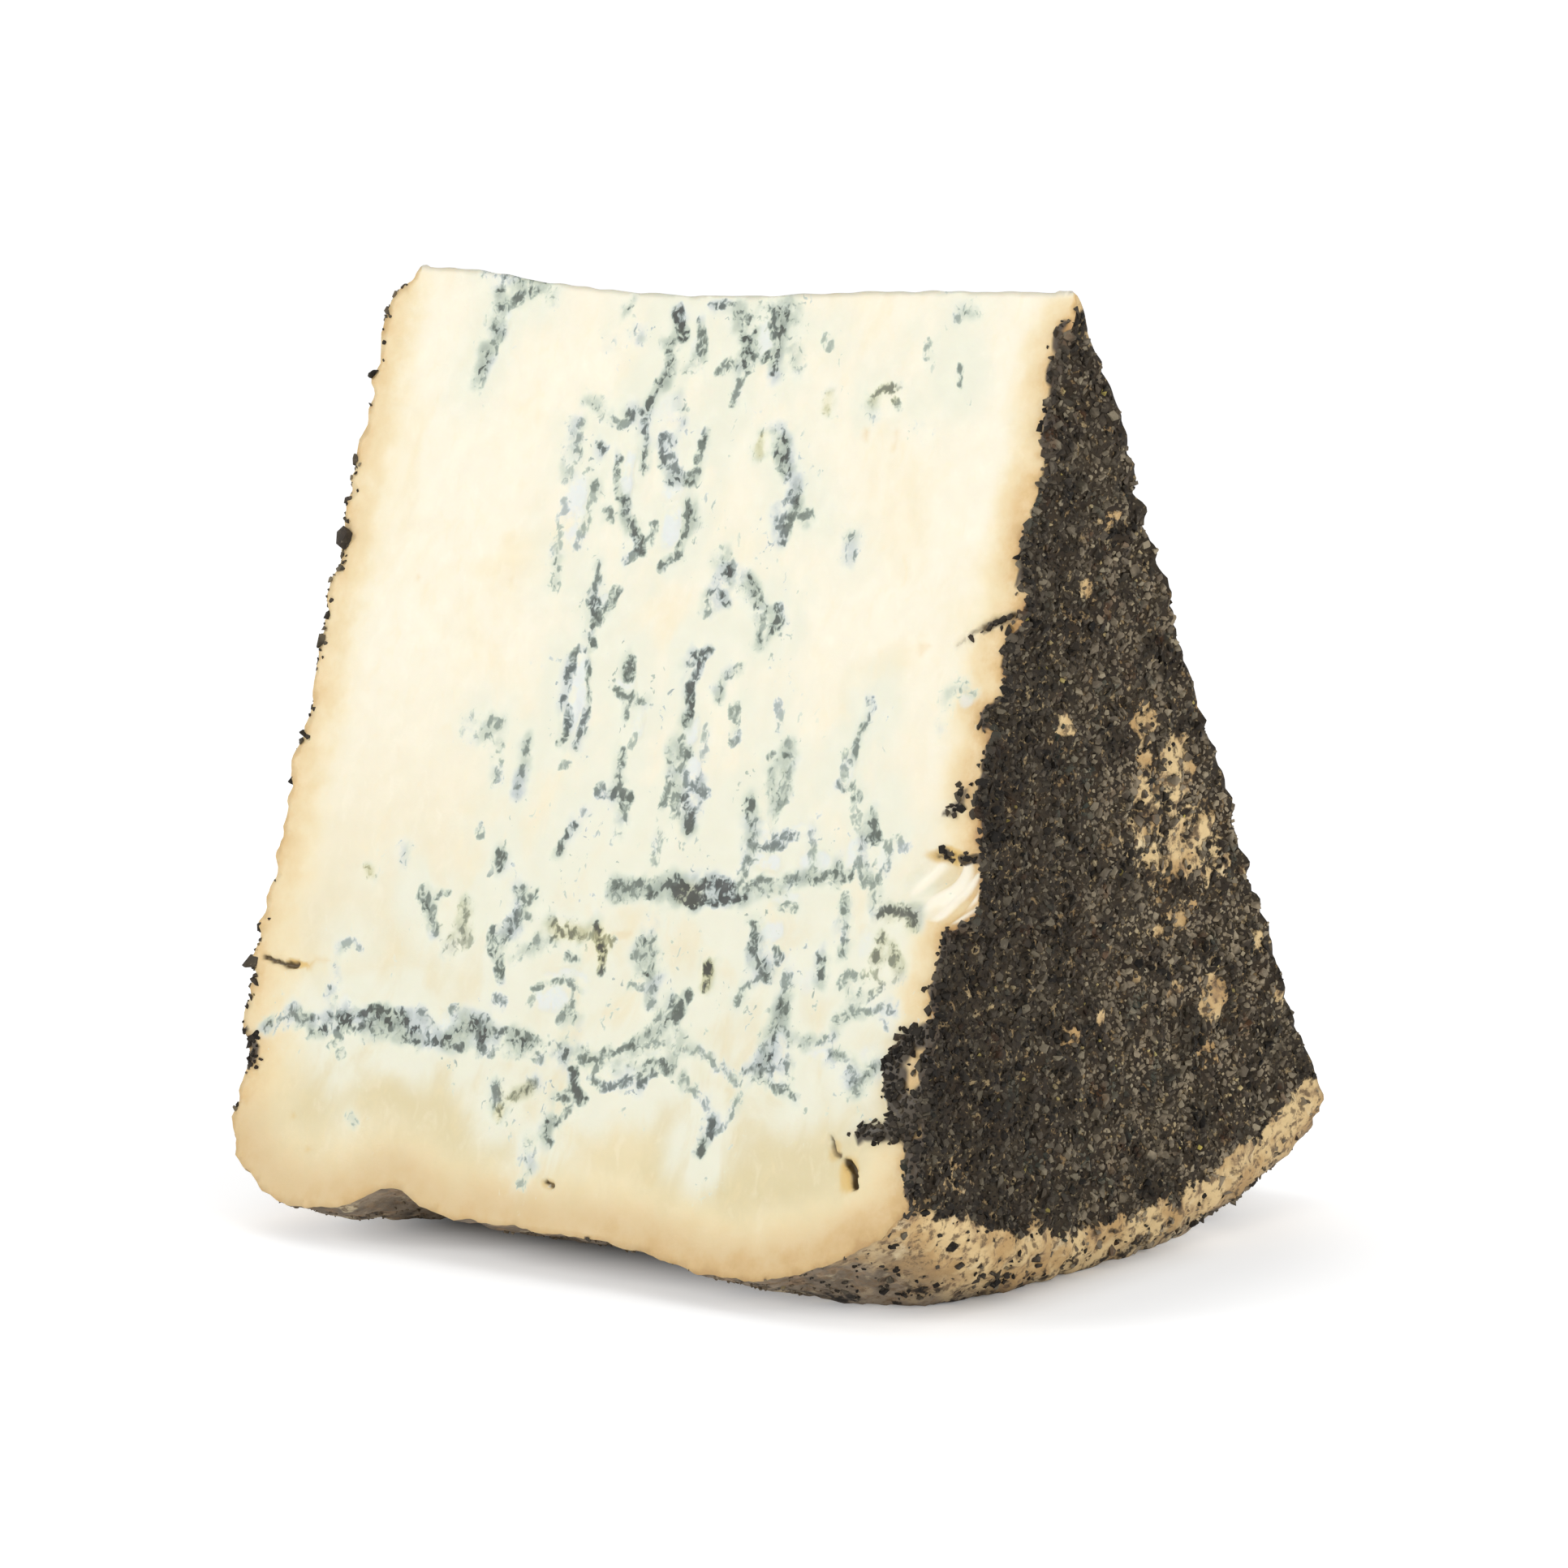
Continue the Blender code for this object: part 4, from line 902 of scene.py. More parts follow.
def smooth_step(low, high, value):
    """A smooth rise from 0 at the first value to 1 at the second."""
    share = np.clip((value - low) / (high - low), 0.0, 1.0)
    return share * share * (3.0 - 2.0 * share)


def plain_noise(places, size):
    """Smooth noise from -1 to 1 at many places, for bumps of the given size."""
    return np.array([noise.noise(Vector(place) / size) for place in places])


def noise_at(places, size, offset=0.0):
    """The same noise, moved by some bumps, so that each use of it differs."""
    return plain_noise(places + size * np.array([offset, offset, NOISE_OFFSET]), size)


def flat_places(x, radius, side):
    """Places on a cut face as points for the noise, with the two faces far apart."""
    return np.column_stack([x, radius, np.full(len(x), side * NOISE_OFFSET * MM)])


def ridge_lift(x):
    """How far the ridge line stands above its nominal height."""
    raised = RIDGE_RAISE / (1.0 + np.exp((x - RIDGE_RAISE_X) / RIDGE_RAISE_WIDTH))
    centre, half_width, height = RIDGE_SAG
    return raised + height * bell(x, centre, half_width)


def wedge_places(x, radius, angle):
    """Where places on the wheel are in the world, never below what it stands on."""
    lift = ridge_lift(x) * np.exp(-radius / RIDGE_REACH)
    height = RIDGE_HEIGHT - radius * np.cos(angle) + lift
    return np.column_stack([RIDGE_X + x, RIDGE_Y + radius * np.sin(angle), np.maximum(height, 0.0)])


def corner(centre, reach, power, start, end):
    """Points (x, radius) round one corner of the outline, from one quarter turn to the next."""
    turn = np.linspace(start, end, CORNER_STEPS + 1)
    across = np.sign(np.cos(turn)) * np.abs(np.cos(turn)) ** (2.0 / power)
    along = np.sign(np.sin(turn)) * np.abs(np.sin(turn)) ** (2.0 / power)
    return np.column_stack([centre[0] + reach[0] * across, centre[1] + reach[1] * along])


def rind_outline(right_round, right_power):
    """The rind from the ridge down the left end, along the rim and up the right end."""
    quarter = math.pi / 2.0
    return np.vstack([
        corner((LEFT_END + LEFT_RIDGE_ROUND[0], LEFT_RIDGE_ROUND[1]), LEFT_RIDGE_ROUND,
               RIDGE_POWER, 3.0 * quarter, 2.0 * quarter),
        corner((LEFT_END + LEFT_RIM_ROUND[0], WHEEL_RADIUS - LEFT_RIM_ROUND[1]), LEFT_RIM_ROUND,
               LEFT_RIM_POWER, 2.0 * quarter, quarter),
        corner((RIGHT_END - right_round[0], WHEEL_RADIUS - right_round[1]), right_round,
               right_power, quarter, 0.0),
        corner((RIGHT_END - RIGHT_RIDGE_ROUND[0], RIGHT_RIDGE_ROUND[1]), RIGHT_RIDGE_ROUND,
               RIDGE_POWER, 0.0, -quarter),
    ])


def evenly_spaced(points, count):
    """Places that split a line in equal parts, as rows of x, radius and the normal."""
    spans = np.linalg.norm(np.diff(points, axis=0), axis=1)
    lengths = np.concatenate([[0.0], np.cumsum(spans)])
    wanted = np.linspace(0.0, lengths[-1], count + 1)
    placed = np.column_stack([np.interp(wanted, lengths, points[:, axis]) for axis in (0, 1)])
    along = np.gradient(placed, axis=0)
    along /= np.linalg.norm(along, axis=1)[:, None]
    return np.column_stack([placed, -along[:, 1], along[:, 0]])


def behind_front(angle):
    """How far the rounding by the front cut has turned into the one behind it, from 0 to 1."""
    return smooth_step(FRONT_ANGLE, FRONT_ANGLE + ROUND_REACH, angle)


def right_share(x):
    """How much of the right end's spread a place takes part in, from 0 to 1."""
    return 1.0 / (1.0 + np.exp((RIGHT_SPREAD_X - x) / RIGHT_SPREAD_WIDTH))


def rim_share(radius):
    """How much of the rim's own form reaches up the ends: all of it at the rim."""
    return (radius / WHEEL_RADIUS) ** RIM_FADE_POWER


def rim_swell(x, radius, angle):
    """How far the rim stands out from a true circle, fading to nothing up the ends."""
    swell = sum(height * bell(x, centre, width) for centre, width, height in RIM_SWELLS)
    swell = swell * bell(angle, FRONT_ANGLE, RIM_SWELL_REACH)
    places = np.column_stack([x, angle * WHEEL_RADIUS, np.full(len(x), NOISE_OFFSET)])
    swell += RIM_ROUGHNESS * plain_noise(places, RIM_ROUGHNESS_SIZE)
    swell += RIM_SPREAD * smooth_step(*RIM_SPREAD_ANGLES, angle)
    swell += RIGHT_SPREAD[1] * right_share(x) * behind_front(angle)
    return swell * rim_share(radius)


def rim_flare(x, radius, angle):
    """How far the rim's right end leans out along x, more and more towards the back."""
    towards_back = np.clip(angle / BACK_ANGLE, 0.0, 1.0)
    return RIGHT_SPREAD[0] * right_share(x) * towards_back * rim_share(radius)


def distance_to_line(x, radius, line):
    """Distance from many places on a cut face to a line of points (x, radius)."""
    best = np.full(len(x), np.inf)
    for start, end in zip(line, line[1:]):
        span_x, span_radius = end[0] - start[0], end[1] - start[1]
        share = (x - start[0]) * span_x + (radius - start[1]) * span_radius
        share = np.clip(share / (span_x ** 2 + span_radius ** 2), 0.0, 1.0)
        away = np.hypot(x - start[0] - share * span_x, radius - start[1] - share * span_radius)
        best = np.minimum(best, away)
    return best


def spots(x, radius, ellipses):
    """Soft round spots: the strongest one at each place."""
    result = np.zeros(len(x))
    for centre_x, centre_radius, half_width, half_height, strength in ellipses:
        away = np.hypot((x - centre_x) / half_width, (radius - centre_radius) / half_height)
        result = np.maximum(result, strength * (1.0 - smooth_step(*SPOT_FADE, away)))
    return result


def near_line(x, radius, points, reach):
    """The places within reach of a line, as indices, and how far away each one is."""
    low = np.min(points, axis=0) - reach
    high = np.max(points, axis=0) + reach
    near = np.flatnonzero((x > low[0]) & (x < high[0]) & (radius > low[1]) & (radius < high[1]))
    return near, distance_to_line(x[near], radius[near], points)


def streaks(x, radius, lines, core, spread):
    """The strongest streak at each place: full in the core of its width, gone past its spread."""
    result = np.zeros(len(x))
    for half_width, strength, *points in lines:
        reach = half_width + spread
        near, away = near_line(x, radius, points, reach)
        level = strength * (1.0 - smooth_step(core * half_width, reach, away))
        result[near] = np.maximum(result[near], level)
    return result


def nearest_vein(x, radius):
    """How near the nearest vein is, 0.5 at its edge and 0 well outside, and how thickly it grows."""
    nearness = np.zeros(len(x))
    growth = np.zeros(len(x))
    for half_width, strength, *points in VEINS:
        edge = VEIN_WIDTH[0] * half_width + VEIN_WIDTH[1]
        near, away = near_line(x, radius, points, edge + NEAR_REACH)
        closer = 0.5 + 0.5 * (edge - away) / NEAR_REACH
        ahead = closer > nearness[near]
        nearness[near[ahead]] = closer[ahead]
        growth[near[ahead]] = strength
    return nearness, growth


def wandered(x, radius, side):
    """Places on a cut face in millimetres, wandering a little so that no streak is a clean line."""
    places = flat_places(x, radius, side)
    across = x / MM
    down = radius / MM
    if side < 0.0:
        across = BACK_DRIFT * noise_at(places, BACK_DRIFT_SIZE) - across
        down = down + BACK_DRIFT * noise_at(places, BACK_DRIFT_SIZE, NOISE_OFFSET)
    for size, reach in WANDER:
        across = across + reach * noise_at(places, size, 1.0)
        down = down + reach * noise_at(places, size, 2.0)
    return across, down


def marbling(x, radius, side):
    """The fields that colour and pit a cut face, each from 0 to 1."""
    across, down = wandered(x, radius, side)
    nearness, growth = nearest_vein(across, down)
    fields = {
        "near": nearness,
        "growth": growth,
        "soft": streaks(across, down, SMEARS, *SMEAR_FADE),
        "halo": streaks(across, down, VEINS + SMEARS, *HALO_FADE),
        "zone": np.minimum(1.0, ZONE_GAIN * streaks(across, down, VEINS + SMEARS, *ZONE_FADE)),
        "bloom": spots(across, down, BLOOMS),
        "olive": spots(across, down, OLIVES),
        "stain": spots(across, down, STAINS),
        "hole": streaks(across, down, HOLES, *HOLE_FADE),
    }
    if side > 0.0:
        fields["spill"] = streaks(across, down, SPILLS, *SPILL_FADE)
    else:
        fields["stain"] *= BACK_STAIN
    return fields


def chip_share(x, radius):
    """How deep a place lies in the torn chip, from 0 at its edge to 1 in its middle."""
    across = (x - CHIP_CENTRE[0]) / CHIP_HALF[0]
    down = (radius - CHIP_CENTRE[1]) / CHIP_HALF[1]
    return np.maximum(0.0, 1.0 - across ** 2 - down ** 2)


def flakes(x, radius):
    """Torn fibres, drawn out along the slope of the tear."""
    along = (x - radius) / CHIP_FIBRE_LENGTH
    across = (x + radius) / CHIP_FIBRE_WIDTH
    return plain_noise(np.column_stack([along, across, np.full(len(x), NOISE_OFFSET)]), 1.0)


def cut_depth(x, radius, side, fields):
    """How far the cut face lies inside its plane: slow waves, a torn chip, pits and cracks."""
    waves = np.column_stack([x, radius, np.full(len(x), side * NOISE_OFFSET)])
    depth = CUT_WAVE * plain_noise(waves, CUT_WAVE_SIZE)
    places = flat_places(x, radius, side)
    depth += CUT_GRAIN * noise_at(places, CUT_GRAIN_SIZE)
    depth += CUT_RIPPLE * noise_at(places, CUT_RIPPLE_SIZE)
    pits = smooth_step(*PIT_NEARNESS, fields["near"]) * fields["growth"]
    depth += VEIN_PIT * pits * (1.0 + noise_at(places, PIT_SIZE))
    depth += BLOOM_HOLLOW * fields["bloom"] * (1.0 + noise_at(places, HOLLOW_SIZE))
    depth += HOLE_DEPTH * fields["hole"]
    if side > 0.0:
        chip = chip_share(x, radius)
        depth += chip * CHIP_DEPTH + np.sqrt(chip) * CHIP_FLAKE * flakes(x, radius)
        depth -= SPILL_RISE * fields["spill"] * (1.0 + noise_at(places, CLUMP_SIZE))
    return depth * np.minimum(1.0, radius / CUT_FADE_RADIUS)


def cut_places(x, radius, side, fields):
    """Places on a cut face, moved in from its plane by the relief."""
    angle = FRONT_ANGLE if side > 0.0 else BACK_ANGLE
    inward = side * np.array([0.0, math.cos(angle), math.sin(angle)])
    places = wedge_places(x, radius, angle)
    places += cut_depth(x, radius, side, fields)[:, None] * inward
    places[:, 2] = np.maximum(places[:, 2], 0.0)
    return places


def clumped(clumps, level, gain, most):
    """How densely crumbs lie where they keep to clumps, never below nothing or above the most."""
    return np.clip(level + gain * clumps, 0.0, most)


def coat_cover(x, radius, angle):
    """How densely crumbs cover the rind: the ends but for worn places, and little of the rim."""
    places = np.column_stack([x, radius, angle * radius])
    small_strength, small_share = SMALL_CLUMPS
    small = noise_at(places, small_share * CLUMP_SIZE)
    clumps = noise_at(places, CLUMP_SIZE) + small_strength * small
    turn = np.degrees(angle)
    band = np.interp(turn, BAND_ANGLES, BAND_RADII) * MM
    bareness = np.zeros(len(x))
    for patch_radius, patch_turn, half_height, half_width, strength in BARE_PATCHES:
        across = radius * np.radians(turn - patch_turn) / (half_width * MM)
        down = (radius / MM - patch_radius) / half_height
        patch = strength * (1.0 - smooth_step(*PATCH_FADE, np.hypot(across, down)))
        bareness = np.where(x > 0.0, np.maximum(bareness, patch), bareness)
    below = smooth_step(band - BAND_FADE, band + BAND_FADE, radius)
    worn = WORN_GAIN * (np.maximum(bareness, below) - 0.5) + clumps
    cover = 1.0 - smooth_step(-WORN_FADE, WORN_FADE, worn)
    cover = np.maximum(cover, STRAY_COVER * clumped(clumps, *STRAY_CLUMPING) * (1.0 - below))
    height = RIDGE_HEIGHT - radius * np.cos(angle)
    under = UNDERSIDE_COVER * smooth_step(FLOOR_FADE, FLOOR_GAP, height)
    sparse = np.maximum(BAND_COVER, under) * clumped(clumps, *SPARSE_CLUMPING)
    cover = np.maximum(cover, sparse * below)
    by_edge = 1.0 - smooth_step(*PEEK_FADE, radius * (angle - FRONT_ANGLE))
    return np.where(x < 0.0, cover * (1.0 - by_edge * (1.0 - shown_past_edge(radius))), cover)


def shown_past_edge(radius):
    """How much of the left end's coat shows past the front cut."""
    return np.interp(radius / MM, PEEK_RADII, PEEK_COVER)


def rind_lift(x, radius, angle, normal_x):
    """How far the rind stands off the wheel's nominal surface, under its crumbs."""
    places = np.column_stack([x, radius, angle * radius])
    lift = np.where(x > 0.0, RIGHT_RIND_LIFT, LEFT_RIND_LIFT) * np.abs(normal_x)
    lift += RIND_ROUGHNESS * noise_at(places, RIND_ROUGHNESS_SIZE)
    on_end = smooth_step(*ROUGH_TURN, np.abs(normal_x))
    lift += COAT_ROUGHNESS * noise_at(places, COAT_ROUGHNESS_SIZE) * on_end
    lift += RIND_GRAIN * noise_at(places, RIND_GRAIN_SIZE)
    for lump_radius, lump_angle, half_width, height in COAT_LUMPS:
        away = np.hypot(radius - lump_radius, radius * (angle - lump_angle))
        lift += np.where(normal_x > COAT_LUMP_TURN, height * bell(away, 0.0, half_width), 0.0)
    right_bulge = np.interp(radius / MM, RIGHT_EDGE_RADII, RIGHT_EDGE_BULGES)
    left_bulge = np.interp(radius / MM, LEFT_EDGE_RADII, LEFT_EDGE_BULGES)
    bulge = np.where(normal_x > 0.0, right_bulge, left_bulge) * MM
    bulge *= smooth_step(*BULGE_TURN, np.abs(normal_x))
    bulge *= bell(radius * (angle - FRONT_ANGLE), 0.0, EDGE_BULGE_REACH)
    return lift * np.minimum(1.0, radius / COAT_FADE_RADIUS) + bulge


def rind_rows():
    """Rows of places round the rind, each through the wedge's angle: x, radius, normal, share."""
    front = rind_outline(RIGHT_FRONT_ROUND, RIGHT_FRONT_POWER)
    back = rind_outline(RIGHT_BACK_ROUND, RIGHT_BACK_POWER)
    count = round(np.linalg.norm(np.diff(front, axis=0), axis=1).sum() / OUTLINE_STEP)
    rows = []
    for near, far in zip(evenly_spaced(front, count), evenly_spaced(back, count)):
        steps = round(near[1] * (BACK_ANGLE - FRONT_ANGLE) / RIND_STEP)
        if near[1] > TIP_RADIUS:
            steps = max(1, steps)
        shares = np.linspace(0.0, 1.0, steps + 1)
        behind = behind_front(FRONT_ANGLE + shares * (BACK_ANGLE - FRONT_ANGLE))[:, None]
        rows.append(np.column_stack([near + behind * (far - near), shares]))
    return rows


def zip_rows(first, second, first_shares, second_shares):
    """Triangles between two rows of vertices, taken in turn from whichever row is behind."""
    faces = []
    i = 0
    j = 0
    while i < len(first) - 1 or j < len(second) - 1:
        ahead_first = first_shares[i + 1] if i < len(first) - 1 else math.inf
        ahead_second = second_shares[j + 1] if j < len(second) - 1 else math.inf
        if ahead_first <= ahead_second:
            faces.append((first[i], second[j], first[i + 1]))
            i += 1
        else:
            faces.append((first[i], second[j], second[j + 1]))
            j += 1
    return faces


def inside(x, radius, outline):
    """Whether each place lies inside a closed outline and clear of it."""
    is_inside = np.zeros(len(x), dtype=bool)
    for start, end in zip(outline, np.roll(outline, -1, axis=0)):
        is_level = (start[1] > radius) != (end[1] > radius)
        if start[1] != end[1]:
            crossing = start[0] + (radius - start[1]) / (end[1] - start[1]) * (end[0] - start[0])
            is_inside ^= is_level & (crossing > x)
    near_edge = np.zeros(len(x), dtype=bool)
    for point in outline:
        near_edge |= np.hypot(x - point[0], radius - point[1]) < EDGE_MARGIN
    return is_inside & ~near_edge


def scattered_places(step, side, draw):
    """Places over a cut face, close together by the marbling and further apart elsewhere."""
    rows = int((WHEEL_RADIUS + SCATTER_MARGIN) / (step * ROW_SHARE))
    columns = int((RIGHT_END - LEFT_END + 2.0 * SCATTER_MARGIN) / step)
    row, column = np.meshgrid(np.arange(1, rows), np.arange(columns), indexing="ij")
    x = LEFT_END - SCATTER_MARGIN + (column + 0.5 * (row % 2)) * step
    radius = row * step * ROW_SHARE
    shake = draw.uniform(-PLACE_SHAKE, PLACE_SHAKE, (2,) + x.shape) * step
    x, radius = (x + shake[0]).ravel(), (radius + shake[1]).ravel()
    is_coarse = ((row % COARSE_EVERY == 0) & (column % COARSE_EVERY == 0)).ravel()
    across, down = wandered(x, radius, side)
    detail = streaks(across, down, VEINS + HOLES, 1.0, FINE_REACH / MM)
    detail += streaks(across, down, SMEARS, *FINE_SMEAR_FADE) + spots(across, down, BLOOMS)
    in_chip = (chip_share(x, radius) > 0.0) & (side > 0.0)
    wanted = is_coarse | (detail > FINE_DETAIL) | in_chip
    return x[wanted], radius[wanted]


def cut_face(loop_places, side, step, draw):
    """Places inside one cut face, and triangles over the outline's places and then those."""
    x, radius = scattered_places(step, side, draw)
    kept = inside(x, radius, loop_places)
    x, radius = x[kept], radius[kept]
    flat = [Vector(place) for place in np.vstack([loop_places, np.column_stack([x, radius])])]
    result = delaunay_2d_cdt(flat, [], [list(range(len(loop_places)))], 1, FLAT_TOLERANCE)
    faces = [[result[3][index][0] for index in corners] for corners in result[2]]
    return x, radius, faces


def rind_fields(x, radius, angle, normal_x, height):
    """The fields of the rind: its coat, where each piece of crumbs lies, and the rim's finish."""
    fields = {key: np.zeros(len(x)) for key in FIELD_NAMES}
    by_ridge = np.where(x > 0.0, smooth_step(*RIDGE_FADE, radius), 1.0)
    fields["cover"] = coat_cover(x, radius, angle) * by_ridge
    crumbs = fields["cover"] * (height > FLOOR_GAP)
    crumbs *= smooth_step(0.0, CUT_CLEAR, radius * (BACK_ANGLE - angle))
    fields["cover_right"] = crumbs * (normal_x > END_TURN)
    fields["cover_left"] = crumbs * (normal_x < -END_TURN)
    fields["cover_rim"] = crumbs * (np.abs(normal_x) <= END_TURN)
    fields["lumps"] = LUMP_SHARE * shown_past_edge(radius) * (normal_x < -EDGE_LUMP_TURN)
    fields["lumps"] *= radius * (angle - FRONT_ANGLE) < LUMP_REACH
    fields["rim"] = 1.0 - smooth_step(*RIM_TURN, np.abs(normal_x))
    return fields


def ridge_places(start, end):
    """Places along the crumbled ridge, between its two ends: x, and where they are."""
    x = np.linspace(start, end, round((end - start) / OUTLINE_STEP))[1:-1]
    places = wedge_places(x, np.zeros(len(x)), 0.0)
    places[:, 2] -= RIDGE_CRUMBLE * (1.0 + noise_at(places, RIDGE_CRUMBLE_SIZE))
    return x, places


def cut_fields(x, radius, side, outline):
    """The fields of places inside a cut face: its marbling, its tan edge and its torn chip."""
    fields = marbling(x, radius, side)
    reach = np.interp(radius, EDGE_REACH_RADIUS, EDGE_REACH)
    reach = reach * (1.0 + LEFT_EDGE_EXTRA * smooth_step(0.0, LEFT_END, x))
    fields["edge"] = 1.0 - np.minimum(1.0, edge_distance(x, radius, outline) / reach)
    if side > 0.0:
        level, gain = TORN_FIBRES
        fibres = np.clip(level - gain * flakes(x, radius), 0.0, 1.0)
        fields["torn"] = np.sqrt(chip_share(x, radius)) * fibres
    return fields


def extended(fields, more, count):
    """The fields of a mesh's places, followed by those of new places."""
    none = np.zeros(count)
    return {key: np.concatenate([values, more.get(key, none)]) for key, values in fields.items()}


def wedge_mesh(name):
    """The whole wedge as one closed mesh that carries the fields of its marbling and its coat."""
    draw = np.random.default_rng(SEED)
    rows = rind_rows()
    x, radius, normal_x, normal_radius, share = np.vstack(rows).T
    angle = FRONT_ANGLE + share * (BACK_ANGLE - FRONT_ANGLE)
    lift = rind_lift(x, radius, angle, normal_x)
    swell = rim_swell(x, radius, angle)
    x = x + normal_x * lift + rim_flare(x, radius, angle)
    radius = np.maximum(radius + normal_radius * lift + swell, 0.0)
    places = wedge_places(x, radius, angle)
    fields = rind_fields(x, radius, angle, normal_x, places[:, 2])
    starts = np.cumsum([0] + [len(row) for row in rows])
    row_indices = [np.arange(first, last) for first, last in zip(starts, starts[1:])]
    faces = []
    for first, second in zip(row_indices, row_indices[1:]):
        faces += zip_rows(first, second, share[first], share[second])
    rind_faces = len(faces)

    ridge_x, ridge = ridge_places(x[row_indices[0][0]], x[row_indices[-1][0]])
    ridge_indices = len(places) + np.arange(len(ridge_x))
    places = np.vstack([places, ridge])
    x = np.concatenate([x, ridge_x])
    radius = np.concatenate([radius, np.zeros(len(ridge_x))])
    fields = extended(fields, {}, len(ridge_x))

    for side, step, end in ((1.0, FRONT_STEP, 0), (-1.0, BACK_STEP, -1)):
        loop = np.concatenate([[row[end] for row in row_indices], ridge_indices[::-1]])
        outline = np.column_stack([x[loop], radius[loop]])
        face_x, face_radius, corners = cut_face(outline, side, step, draw)
        face_fields = cut_fields(face_x, face_radius, side, outline)
        loop_fields = marbling(*outline.T, side)
        rims = outline[:, 1] > TIP_RADIUS
        rim_fields = {key: values[rims] for key, values in loop_fields.items()}
        places[loop[rims]] = cut_places(*outline[rims].T, side, rim_fields)
        indices = np.concatenate([loop, len(places) + np.arange(len(face_x))])
        faces += [[indices[index] for index in face] for face in corners]
        places = np.vstack([places, cut_places(face_x, face_radius, side, face_fields)])
        for key, values in loop_fields.items():
            fields[key][loop] = np.maximum(fields[key][loop], values)
        fields["edge"][loop[rims]] = 1.0
        if side > 0.0:
            by_coat = (x[loop] > 0.0) & (radius[loop] > RIDGE_CLEAR)
            by_coat &= fields["cover"][loop] > COATED
            fields["spill"][loop] = np.maximum(fields["spill"][loop], by_coat)
        fields = extended(fields, face_fields, len(face_x))

    data = bpy.data.meshes.new(name)
    data.from_pydata(places.tolist(), [], faces)
    is_rind = [int(index < rind_faces) for index in range(len(faces))]
    data.polygons.foreach_set("material_index", is_rind)
    for key, values in fields.items():
        data.attributes.new(key, "FLOAT", "POINT").data.foreach_set("value", values)
    return data


def edge_distance(x, radius, outline):
    """Distance from places on a cut face to its outline, but for the ridge."""
    best = np.full(len(x), np.inf)
    for point_x, point_radius in outline[outline[:, 1] > RIDGE_CLEAR]:
        best = np.minimum(best, np.hypot(x - point_x, radius - point_radius))
    return best


def face_outward(data):
    """Turn every face of a closed mesh outward."""
    mesh = bmesh.new()
    mesh.from_mesh(data)
    bmesh.ops.recalc_face_normals(mesh, faces=mesh.faces)
    mesh.to_mesh(data)
    mesh.free()


def new_object(name, data):
    """An object of new data, put in the scene."""
    item = bpy.data.objects.new(name, data)
    bpy.context.scene.collection.objects.link(item)
    return item


def new_material(name):
    """A material with only a Principled shader, and its tree."""
    material = bpy.data.materials.new(name)
    material.use_nodes = True
    return material, material.node_tree, material.node_tree.nodes["Principled BSDF"]


def grain(tree, size, detail=3.0, roughness=0.55):
    """Noise from 0 to 1 over the surface, with bumps of the given size in metres."""
    place = add(tree, "ShaderNodeTexCoord", output="Object")
    inputs = {"Vector": place, "Scale": 0.5 / size, "Detail": detail, "Roughness": roughness}
    return add(tree, "ShaderNodeTexNoise", inputs)


def named_value(tree, name):
    """A field of the mesh, as one number."""
    return add(tree, "ShaderNodeAttribute", output="Fac", attribute_name=name)


def combine(tree, operation, *values):
    """A math node over two or three values or links."""
    return add(tree, "ShaderNodeMath", values, operation=operation)


def ramped(tree, value, start, end, least=0.0, most=1.0):
    """A value eased from one range of numbers into another."""
    inputs = (value, start, end, least, most)
    return add(tree, "ShaderNodeMapRange", inputs, interpolation_type="SMOOTHSTEP")


def stretched(tree, size, detail, share):
    """Noise drawn out along the height of the cheese, as the marbling is."""
    place = add(tree, "ShaderNodeTexCoord", output="Object")
    drawn = add(tree, "ShaderNodeMapping", {"Vector": place, "Scale": (1.0, 1.0, share)})
    return add(tree, "ShaderNodeTexNoise", {
        "Vector": drawn, "Scale": 0.5 / size, "Detail": detail, "Roughness": 0.55, "Distortion": 0.6,
    })


def patches(tree, noise_settings, start, end, least=0.0, most=1.0):
    """Soft patches of a grain: from the least to the most of them between two of its levels."""
    return ramped(tree, grain(tree, *noise_settings), start, end, least, most)


def laid_over(tree, colour, layers):
    """Colours laid one over another: each is (colour, how much of what is below it covers)."""
    for above, share in layers:
        colour = add(tree, "ShaderNodeMix", {0: share, 6: colour, 7: above}, 2, data_type="RGBA")
    return colour


def dress(tree, shader, colour, bumps, strength, height):
    """Give a shader its colour, and a relief that is too fine for the mesh."""
    tree.links.new(colour, shader.inputs["Base Color"])
    inputs = {"Height": bumps, "Strength": strength, "Distance": height}
    tree.links.new(add(tree, "ShaderNodeBump", inputs), shader.inputs["Normal"])


